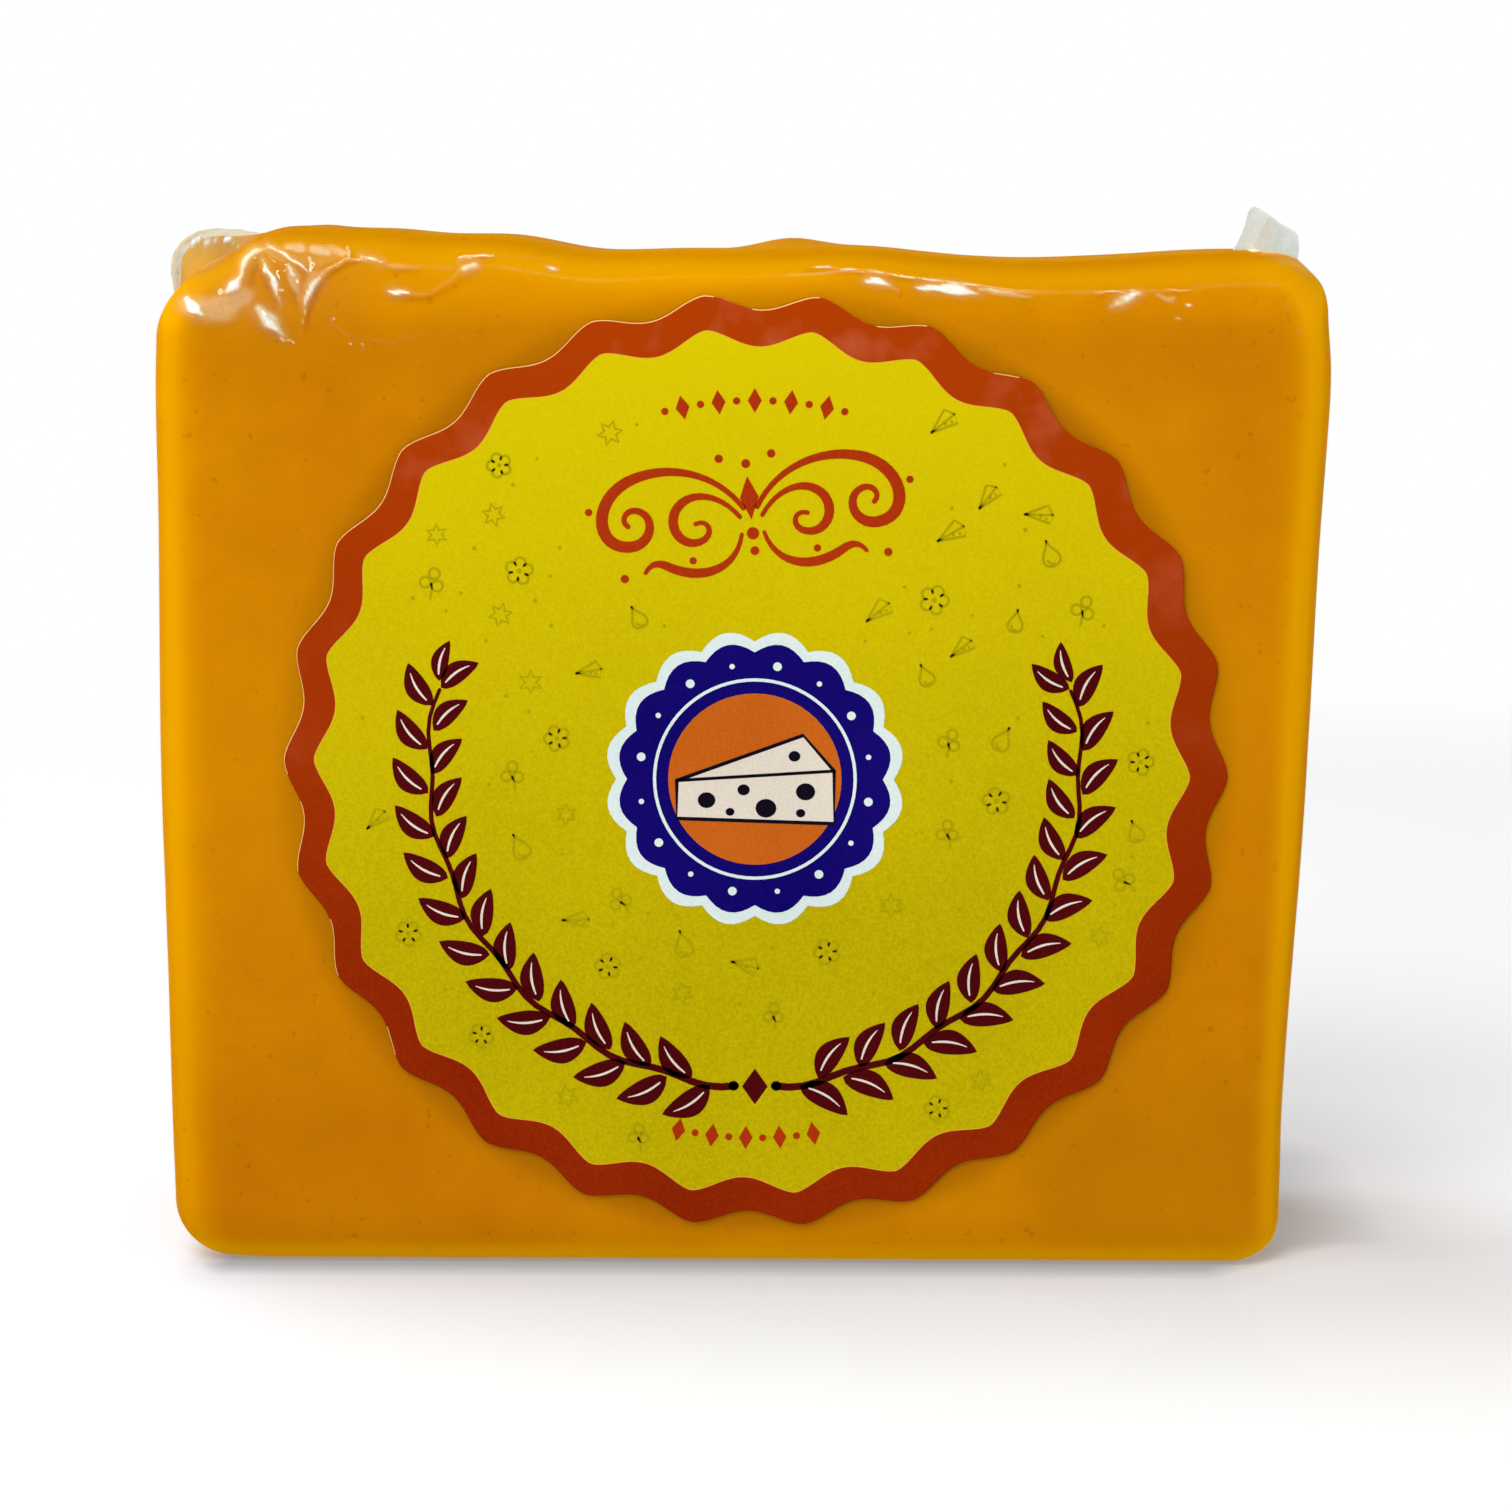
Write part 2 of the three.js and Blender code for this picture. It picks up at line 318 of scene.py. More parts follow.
def film_material(name, straight, rough, milk_and_highlight_stops):
    """Clear film: see-through, shiny by angle, milky where it is gathered up and paler still where highlights are
    painted in (haze_and_painted_highlight), with painted shade in its creases and dark specks
    (crease_shade_and_specks).
    """
    n = Nodes(name)
    co = n.coords()
    haze_and_painted_highlight = n.add("Attribute", attribute_name="haze_and_painted_highlight").outputs["Fac"]
    sheen = n.add("Attribute", attribute_name="sheen").outputs["Fac"]
    cool = n.add("Attribute", attribute_name="cool").outputs["Fac"]
    crease_shade_and_specks = n.add("Attribute", attribute_name="crease_shade_and_specks").outputs["Fac"]
    clear = n.add("BsdfTransparent")
    # painted shade: the see-through colour turns dark brown on the dark side of folds, and at a few dark specks
    n.link(n.mix(crease_shade_and_specks, (0.99, 0.985, 0.98, 1), (0.72, 0.55, 0.40, 1)), clear.inputs["Color"])
    # milky film, and painted highlights where the haze value is high, in one diffuse colour
    milk_and_painted_highlight_diffuse = n.add("BsdfDiffuse")
    n.link(n.mix(cool, n.ramp(haze_and_painted_highlight, milk_and_highlight_stops), n.ramp(haze_and_painted_highlight, [(0.3, (0.68, 0.55, 0.20, 1)), (0.5, (0.60, 0.62, 0.60, 1)), (0.9, (0.95, 0.97, 0.95, 1))])), milk_and_painted_highlight_diffuse.inputs["Color"])
    shine = n.add("BsdfGlossy", distribution="BECKMANN")
    shine.inputs["Color"].default_value = (1.0, 0.95, 0.84, 1)
    grain = n.noise(co, 480, 2)
    n.link(n.ramp(grain, [(0.35, grey(rough * 0.7)), (0.75, grey(rough * 1.7))]), shine.inputs["Roughness"])
    tiny = n.noise(co, 2600, 2)
    n.link(n.bump(grain, 0.15, 0.00010), shine.inputs["Normal"])
    # the same from both sides, as a thin sheet has it: little straight on, much at a grazing angle
    side = n.add("LayerWeight")
    side.inputs["Blend"].default_value = 0.5
    facing = side.outputs["Facing"]
    fr = n.math("MULTIPLY_ADD", n.math("POWER", facing, 5.0), 0.9, straight)
    cloud = n.ramp(tiny, [(0.3, grey(0.93)), (0.7, grey(1.05))])
    thick = n.math("MULTIPLY_ADD", n.math("POWER", facing, 3.0), 1.6, 1.0)
    under = n.add("MixShader")
    n.link(n.math("MULTIPLY", n.math("MULTIPLY", haze_and_painted_highlight, cloud), thick, clamp=True), under.inputs[0])
    n.link(clear.outputs[0], under.inputs[1])
    n.link(milk_and_painted_highlight_diffuse.outputs[0], under.inputs[2])
    top = n.add("MixShader")
    n.link(n.math("MULTIPLY", fr, sheen, clamp=True), top.inputs[0])
    n.link(under.outputs[0], top.inputs[1])
    n.link(shine.outputs[0], top.inputs[2])
    n.link(top.outputs[0], n.out.inputs["Surface"])
    return n.m


def label_ink(name, dark, light, grain=0.5, rough=(0.42, 0.6), spec=0.03, fade=None, sheen=None):
    n = Nodes(name)
    co = n.coords()
    g = n.noise(co, 4600, 2, 0.6)
    wide = n.noise(co, 60, 2)
    f = n.math("ADD", n.math("MULTIPLY", g, grain), n.math("MULTIPLY", wide, 1 - grain))
    c = n.ramp(f, [(0.36, dark), (0.64, light)])
    # painted light: the fade colour is paler, for the greater light towards the label's top
    if fade:  # a second colour towards the label's top
        h = n.add("SeparateXYZ")
        n.link(co, h.inputs[0])
        m = n.add("MapRange")
        m.inputs["From Min"].default_value, m.inputs["From Max"].default_value = fade[1], fade[2]
        n.link(h.outputs["Z"], m.inputs["Value"])
        c = n.mix(n.math("MULTIPLY", m.outputs["Result"], 0.75), c, fade[0])
        # painted highlight: the sheen colour puts paler streaks on the top of the rim
        if sheen:  # and paler streaks there, where the curved rim catches the light
            streaks = n.ramp(n.noise(co, 150, 3, 0.6), [(0.52, grey(0.0)), (0.70, grey(0.55))])
            c = n.mix(n.math("MULTIPLY", n.math("MULTIPLY", m.outputs["Result"], m.outputs["Result"]), streaks), c, sheen)
    p = n.add("BsdfPrincipled")
    n.link(c, p.inputs["Base Color"])
    n.link(n.ramp(g, [(0.3, grey(rough[0])), (0.7, grey(rough[1]))]), p.inputs["Roughness"])
    p.inputs["Specular IOR Level"].default_value = spec
    n.link(n.bump(g, 0.18, 0.00008), p.inputs["Normal"])
    n.link(p.outputs[0], n.out.inputs["Surface"])
    return n.m


CHEESE = cheese_material()
FILM = film_material("clear_film", 0.035, 0.09, [(0.0, (0.80, 0.46, 0.08, 1)), (0.30, (1.0, 0.62, 0.20, 1)), (0.60, (1.0, 0.83, 0.46, 1)), (0.85, (1.0, 0.98, 0.88, 1))])
FILM_LOOSE = film_material("gathered_film", 0.03, 0.14, [(0.0, (0.70, 0.60, 0.46, 1)), (0.35, (0.77, 0.86, 0.85, 1)), (0.7, (0.85, 0.95, 0.94, 1)), (1.0, (1.0, 1.0, 1.0, 1))])
# painted light: yellow and border are paler towards the label's top (fade), the border also with painted sheen streaks
YELLOW = label_ink("label_yellow", lin(183, 164, 0), lin(205, 185, 0), grain=0.72, fade=(lin(233, 211, 0), 0.030, 0.082))
BORDER = label_ink("label_border", lin(134, 31, 0), lin(156, 43, 0), grain=0.5, fade=(lin(188, 68, 0), 0.02, 0.080), sheen=lin(206, 104, 66))
PALE = label_ink("label_pale_line", lin(222, 156, 44), lin(234, 170, 58))
PAPER = label_ink("label_paper_edge", lin(234, 184, 112), lin(244, 198, 132))
MAROON = label_ink("print_maroon", lin(72, 4, 8), lin(88, 8, 10))
RED = label_ink("print_red", lin(164, 44, 6), lin(184, 56, 12))
NAVY = label_ink("print_navy", lin(12, 2, 98), lin(24, 8, 118))
WHITE = label_ink("print_white", lin(216, 232, 228), lin(232, 244, 240))
CREAM = label_ink("print_cream", lin(224, 212, 196), lin(240, 228, 212))
ORANGE = label_ink("print_orange", lin(196, 92, 18), lin(212, 108, 30))
INK = label_ink("print_black", lin(14, 10, 22), lin(24, 18, 34))
OLIVE = label_ink("print_olive", lin(172, 154, 0), lin(184, 166, 4))

# ---------------------------------------------------------------- camera, lights, floor
camera = bpy.data.objects.new("camera", bpy.data.cameras.new("camera"))
scene.collection.objects.link(camera)
camera.data.sensor_width = 36
camera.data.lens = 90.0
camera.data.clip_start, camera.data.clip_end = 0.01, 20
pitch, yaw = math.radians(-8.535), math.radians(-0.932)
look = Vector((math.sin(yaw) * math.cos(pitch), math.cos(yaw) * math.cos(pitch), math.sin(pitch)))
camera.location = Vector(metres((6.42, -315.4, 88.05)))
camera.rotation_mode = "QUATERNION"
camera.rotation_quaternion = look.to_track_quat("-Z", "Y")
scene.camera = camera


def area(name, at, target, size, size_y, power, colour=(1, 1, 1), glossy=True):
    l = bpy.data.lights.new(name, "AREA")
    l.shape, l.size, l.size_y, l.energy, l.color = "RECTANGLE", size, size_y, power, colour
    o = bpy.data.objects.new(name, l)
    scene.collection.objects.link(o)
    o.location = at
    o.rotation_mode = "QUATERNION"
    o.rotation_quaternion = (Vector(target) - Vector(at)).to_track_quat("-Z", "Y")
    o.visible_glossy = glossy
    return o


centre = (0, 0, 0.04)
area("sky", (-0.34, 0.26, 0.80), centre, 0.5, 0.5, 3.8, glossy=False)
area("front", (-0.50, -0.86, 0.74), centre, 0.85, 0.85, 7.1, glossy=False)
area("near", (-0.06, -0.34, 0.50), centre, 0.3, 0.2, 0.9, glossy=False)
area("left", (-0.9, 0.0, 0.35), centre, 0.5, 0.7, 1.2, glossy=False)
area("right", (0.95, 0.0, 0.3), centre, 0.5, 0.6, 2.3, glossy=False)


def glint(name, target, azimuth, tilt, away, size, size_y, power):
    """A lamp for highlights only: seen by the camera in a facet at target (mm) that is turned by azimuth and tilt from straight ahead."""
    at = Vector(metres(target))
    view = (camera.location - at).normalized()
    az, el = math.radians(azimuth), math.radians(tilt)
    facet = Vector((math.sin(az) * math.cos(el), -math.cos(az) * math.cos(el), math.sin(el)))
    out = (2 * view.dot(facet) * facet - view).normalized()
    o = area(name, tuple(at + out * away), tuple(at), size, size_y, power)
    o.visible_diffuse = False
    return o


glint("glint_top", (20, -13, 80.5), 0, 27, 0.75, 0.42, 0.08, 1.0)
glint("glint_folds", (-38, -13.5, 80), -24, 18, 0.75, 0.16, 0.16, 0.6)
glint("glint_folds_right", (-36, -13.5, 80), 22, 14, 0.75, 0.14, 0.14, 0.4)

world = bpy.data.worlds.new("studio")
scene.world = world
world.use_nodes = True
wt = world.node_tree
wt.nodes.clear()
wo = wt.nodes.new("ShaderNodeOutputWorld")


def background(strength):
    b = wt.nodes.new("ShaderNodeBackground")
    b.inputs["Color"].default_value = (1, 1, 1, 1)
    b.inputs["Strength"].default_value = strength
    return b.outputs[0]


def choose(fac, a, b):
    m = wt.nodes.new("ShaderNodeMixShader")
    wt.links.new(fac, m.inputs[0])
    wt.links.new(a, m.inputs[1])
    wt.links.new(b, m.inputs[2])
    return m.outputs[0]


def step(value, lo, hi):
    m = wt.nodes.new("ShaderNodeMapRange")
    m.inputs["From Min"].default_value, m.inputs["From Max"].default_value = lo, hi
    wt.links.new(value, m.inputs["Value"])
    return m.outputs["Result"]


# bright all round for the camera; for the light it is dim, a little brighter from below and from behind
direction = wt.nodes.new("ShaderNodeSeparateXYZ")
wt.links.new(wt.nodes.new("ShaderNodeTexCoord").outputs["Generated"], direction.inputs[0])
lp = wt.nodes.new("ShaderNodeLightPath")
soft = choose(step(direction.outputs["Z"], -0.25, 0.10), background(0.85), background(0.26))
mirrored = choose(step(direction.outputs["Y"], 0.25, 0.70), background(0.03), background(0.95))
lit_by = choose(lp.outputs["Is Glossy Ray"], soft, mirrored)
wt.links.new(choose(lp.outputs["Is Camera Ray"], lit_by, background(1.0)), wo.inputs["Surface"])


def floor_material():
    """A pale sheet, going over into the white behind it well away from the block."""
    n = Nodes("floor_pale")
    co = n.coords()
    # painted shadow: the sheet's colour is made darker close to the block, where it gets its light only from under and
    # off the cheese, and cooler there to offset the orange of that light
    where = n.add("SeparateXYZ")
    n.link(co, where.inputs[0])
    past = lambda value, reach, much: n.math("MULTIPLY", n.math("MAXIMUM", n.math("SUBTRACT", value, reach), 0.0), much)
    dx = n.math("ADD", past(where.outputs["X"], 0.0425, 0.27), past(n.math("MULTIPLY", where.outputs["X"], -1.0), 0.0418, 1.6))
    # the painted shadow to the right lies further back and thins out slowly behind
    right = n.ramp(where.outputs["X"], [(0.040, grey(0)), (0.048, grey(1))])
    y = n.math("MULTIPLY_ADD", right, -0.009, where.outputs["Y"])
    dy = n.math("MULTIPLY_ADD", past(y, 0.0125, 1.0), n.math("MULTIPLY_ADD", right, -0.70, 1.0), past(n.math("MULTIPLY", y, -1.0), 0.0125, 1.0))
    off = n.math("SQRT", n.math("ADD", n.math("MULTIPLY", dx, dx), n.math("MULTIPLY", dy, dy)))
    f = n.math("MULTIPLY", off, 25.0)
    c = n.ramp(f, [(0.0, (0.22, 0.26, 0.31, 1)), (0.035, (0.34, 0.38, 0.44, 1)), (0.09, (0.56, 0.595, 0.65, 1)), (0.22, (0.65, 0.675, 0.715, 1)), (0.8, (0.715, 0.725, 0.74, 1))])
    grey_painted_shadow = n.ramp(f, [(0.0, grey(0.27)), (0.035, grey(0.38)), (0.09, grey(0.59)), (0.22, grey(0.675)), (0.8, grey(0.725))])
    c = n.mix(n.math("MULTIPLY", right, 0.75), c, grey_painted_shadow)
    p = n.add("BsdfPrincipled")
    n.link(c, p.inputs["Base Color"])
    p.inputs["Emission Color"].default_value = (1, 1, 1, 1)
    p.inputs["Emission Strength"].default_value = 0.22
    p.inputs["Roughness"].default_value = 0.9
    p.inputs["Specular IOR Level"].default_value = 0.0
    far = n.add("VectorMath", operation="DISTANCE")
    n.link(co, far.inputs[0])
    far.inputs[1].default_value = (0.03, 0.10, 0.0)
    fade = n.ramp(far.outputs["Value"], [(0.155, grey(0)), (0.26, grey(1))])
    clear = n.add("BsdfTransparent")
    m = n.add("MixShader")
    n.link(fade, m.inputs[0])
    n.link(p.outputs[0], m.inputs[1])
    n.link(clear.outputs[0], m.inputs[2])
    n.link(m.outputs[0], n.out.inputs["Surface"])
    return n.m


floor = new_mesh("floor", [(-3, -3, 0), (3, -3, 0), (3, 3, 0), (-3, 3, 0)], [(0, 1, 2, 3)], floor_material(), in_mm=False)
floor.visible_glossy = False
floor.visible_diffuse = False

# ---------------------------------------------------------------- the cheese
inner = HALF - EDGE
lump, pit = Waves(3, 34), Waves(5, 9)
cheese_lines = [
    edge_lines(0, stretch(-inner[0], inner[0], 0.8), 10, 10),
    edge_lines(1, stretch(-inner[1], inner[1], 1.0), 9, 9),
    edge_lines(2, stretch(-inner[2], inner[2], 0.8), 10, 10),
]
p, q = box_grid(cheese_lines)
v, out = block(p, back_out=1.5)
n = normals(v, q)
from_label = np.hypot(v[:, 0] - LABEL_X, v[:, 2] - LABEL_Z)
facing_front = np.clip(-n[:, 1], 0, 1)
flat = facing_front ** 4 * smooth((41 - from_label) / 4)
relief = (0.03 * np.clip(lump(v), -1, 1) + 0.015 * np.clip(pit(v), -1, 1)) * (1 - 0.85 * flat) * smooth(v[:, 2] / 3)
# the film of the back left corner holds more air than cheese
lobe = smooth((v[:, 1] - 1) / 4) * smooth((-v[:, 0] - 40.5) / 3.5) * smooth((v[:, 2] - 77) / 4)
v += n * (relief - 0.06 - 0.50 * lobe)[:, None]
v[:, 2] = np.maximum(v[:, 2], 0.02)
rounding = 1 - np.max(np.abs(out), axis=1)
left_side, right_side = smooth((-v[:, 0] - 40) / 5), smooth((v[:, 0] - 40) / 5)
top_side, foot_side = smooth((v[:, 2] - 76) / 5), smooth((2.6 - v[:, 2]) / 2.4)
# painted light: towards the edges the colour is made paler and more golden, standing in for the light that comes
# through the cheese there
edge = smooth(rounding / 0.24) * (0.7 * left_side * (0.6 + 0.4 * smooth(v[:, 2] / 40)) + 0.95 * right_side + 0.7 * top_side + 0.6 * foot_side * (1 - 0.7 * smooth(v[:, 1] / 6)))
edge += 0.15 * bell(v[:, 2], 80, 3.0) * facing_front + 0.6 * foot_side * facing_front
edge += 0.27 * bell(v[:, 2], 45, 18) * smooth((np.abs(v[:, 0]) - 28) / 8) * facing_front ** 2
edge += 0.30 * bell(v[:, 2], 81.5, 3.2) * bell(v[:, 0], -8, 18) * smooth((6 - v[:, 1]) / 4)
# painted shade: the top's colour is darkened, as the top faces the lamps
outside_painted_top_shade = 1 - 0.9 * smooth((n[:, 2] - 0.15) / 0.75)
# painted shade: a darker, olive colour round the label's rim, where the label keeps light out of the cheese; the same
# darker colour is also put low on the right and just under the top's rim
beside = facing_front * smooth((from_label - 33.5) / 1.5) * smooth((39.6 - from_label) / 2.4)
beside = np.maximum(beside, 0.42 * facing_front * bell(v[:, 2], 9, 9) * smooth((v[:, 0] - 20) / 8))
beside = np.maximum(beside, 0.25 * facing_front * bell(v[:, 2], 76, 4))
cheese = new_mesh("cheese", v, q, CHEESE)
attribute(cheese, "edge", np.clip(edge, 0, 1))
attribute(cheese, "beside", np.clip(beside, 0, 1))
attribute(cheese, "outside_painted_top_shade", np.clip(outside_painted_top_shade, 0, 1))
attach(cheese, "root")
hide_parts("wrapped_block")


# ---------------------------------------------------------------- the film
def fold(x, z, pts, rise, right, left, ends=0.25, crest=0.04):
    """A crease in a sheet: highest along the line pts, falling away straight on each side within its own width."""
    pts = np.asarray(pts, float)
    seg = pts[1:] - pts[:-1]
    length = np.hypot(seg[:, 0], seg[:, 1])
    run = np.concatenate([[0], np.cumsum(length)])
    best = np.full(x.shape, 1e9)
    side = np.zeros(x.shape)
    along = np.zeros(x.shape)
    for i, (a, s, l) in enumerate(zip(pts[:-1], seg, length)):
        dx, dz = x - a[0], z - a[1]
        t = np.clip((dx * s[0] + dz * s[1]) / l**2, 0, 1)
        ex, ez = dx - t * s[0], dz - t * s[1]
        d = np.hypot(ex, ez)
        near = d < best
        best = np.where(near, d, best)
        side = np.where(near, s[0] * dz - s[1] * dx, side)
        along = np.where(near, (run[i] + t * l) / run[-1], along)
    w = np.where(side < 0, right, left)
    d = np.sqrt(best**2 + crest**2) - crest
    taper = smooth(along / ends) * smooth((1 - along) / ends) if ends > 0 else 1.0
    return rise * np.clip(1 - d / w, 0, 1) * taper


def rounded_line(pts, widths, steps=6):
    """A soft curve through pts, its half widths swelling and thinning smoothly."""
    pts, widths = np.asarray(pts, float), np.asarray(widths, float)
    far = np.concatenate([[2 * pts[0] - pts[1]], pts, [2 * pts[-1] - pts[-2]]])
    line, wide = [], []
    for i in range(len(pts) - 1):
        a, b, c, d = far[i:i + 4]
        for t in np.arange(steps) / steps:
            line.append(0.5 * (2 * b + (c - a) * t + (2 * a - 5 * b + 4 * c - d) * t**2 + (3 * b - a - 3 * c + d) * t**3))
            wide.append(widths[i] + (widths[i + 1] - widths[i]) * smooth(t))
    return np.array(line + [pts[-1]]), np.array(wide + [widths[-1]])


def painted(x, z, pts, widths, soft=0.3):
    """1 along the line pts out to its half widths (one per point), fading over soft (mm)."""
    pts, widths = rounded_line(pts, widths)
    best = np.full(x.shape, -1e9)
    if len(pts) == 1:
        best = widths[0] - np.hypot(x - pts[0, 0], z - pts[0, 1])
    for a, b, wa, wb in zip(pts[:-1], pts[1:], widths[:-1], widths[1:]):
        s = b - a
        t = np.clip(((x - a[0]) * s[0] + (z - a[1]) * s[1]) / (s @ s), 0, 1)
        d = np.hypot(x - a[0] - t * s[0], z - a[1] - t * s[1])
        best = np.maximum(best, wa + t * (wb - wa) - d)
    return smooth(best / soft + 0.5)


PER_MM = 12.5  # pixels of a 1512 square view from the camera, per millimetre at the block's front


def in_view(v):
    """Where points lie in a 1512 square view from the camera, as sideways and up in mm at the block's front; for setting out the folds."""
    eye = np.array([6.42, -315.4, 88.05])
    d = np.array([look.x, look.y, look.z])
    right = np.array([math.cos(yaw), -math.sin(yaw), 0.0])
    up = np.cross(right, d)
    away = (v - eye) @ d
    return (756 + 3780 * ((v - eye) @ right) / away) / PER_MM, -(756 - 3780 * ((v - eye) @ up) / away) / PER_MM


def line(*points):
    return [(px / PER_MM, -py / PER_MM) for px, py in points]


FOLDS = [  # line, rise, width on its right, width on its left (looking along it)
    (line((184, 296), (192, 309), (203, 317)), 0.22, 1.2, 0.8),
    (line((225, 303), (236, 288), (246, 275), (250, 263), (258, 254), (270, 249)), 0.42, 1.1, 1.3),
    (line((261, 256), (266, 271), (274, 284), (281, 304)), 0.34, 0.7, 0.9),
    (line((268, 245), (282, 253), (295, 262), (311, 276)), 0.36, 0.8, 0.5),
    (line((302, 330), (304, 315), (309, 298), (317, 282), (327, 271), (345, 262), (368, 257)), 0.34, 0.45, 0.9),
    (line((288, 264), (292, 276), (298, 296)), 0.24, 0.7, 0.7),
    (line((258, 310), (268, 322), (281, 336)), 0.26, 0.8, 0.5),
    (line((366, 257), (378, 261), (390, 267), (416, 267)), 0.22, 0.5, 0.6),
    (line((384, 292), (402, 295), (419, 295), (445, 284), (468, 269), (492, 255)), 0.24, 0.75, 0.35),
    (line((455, 259), (475, 258), (494, 255)), 0.20, 0.35, 0.3),
    (line((286, 246), (318, 244), (344, 250)), 0.12, 0.35, 0.5),
    (line((348, 250), (350, 262)), 0.10, 0.25, 0.25),
    (line((280, 339), (288, 340), (294, 343)), 0.08, 0.2, 0.2),
    (line((320, 325), (340, 339), (370, 344), (410, 340), (440, 325)), 0.025, 0.8, 0.8),
    # the long crease under the top's front edge, right of the middle
    (line((806, 267), (838, 268), (876, 271), (912, 276), (950, 280), (988, 285), (1026, 291)), 0.07, 1.0, 0.30),
    (line((1094, 291), (1136, 291), (1172, 291), (1208, 291)), 0.04, 0.8, 0.30),
]

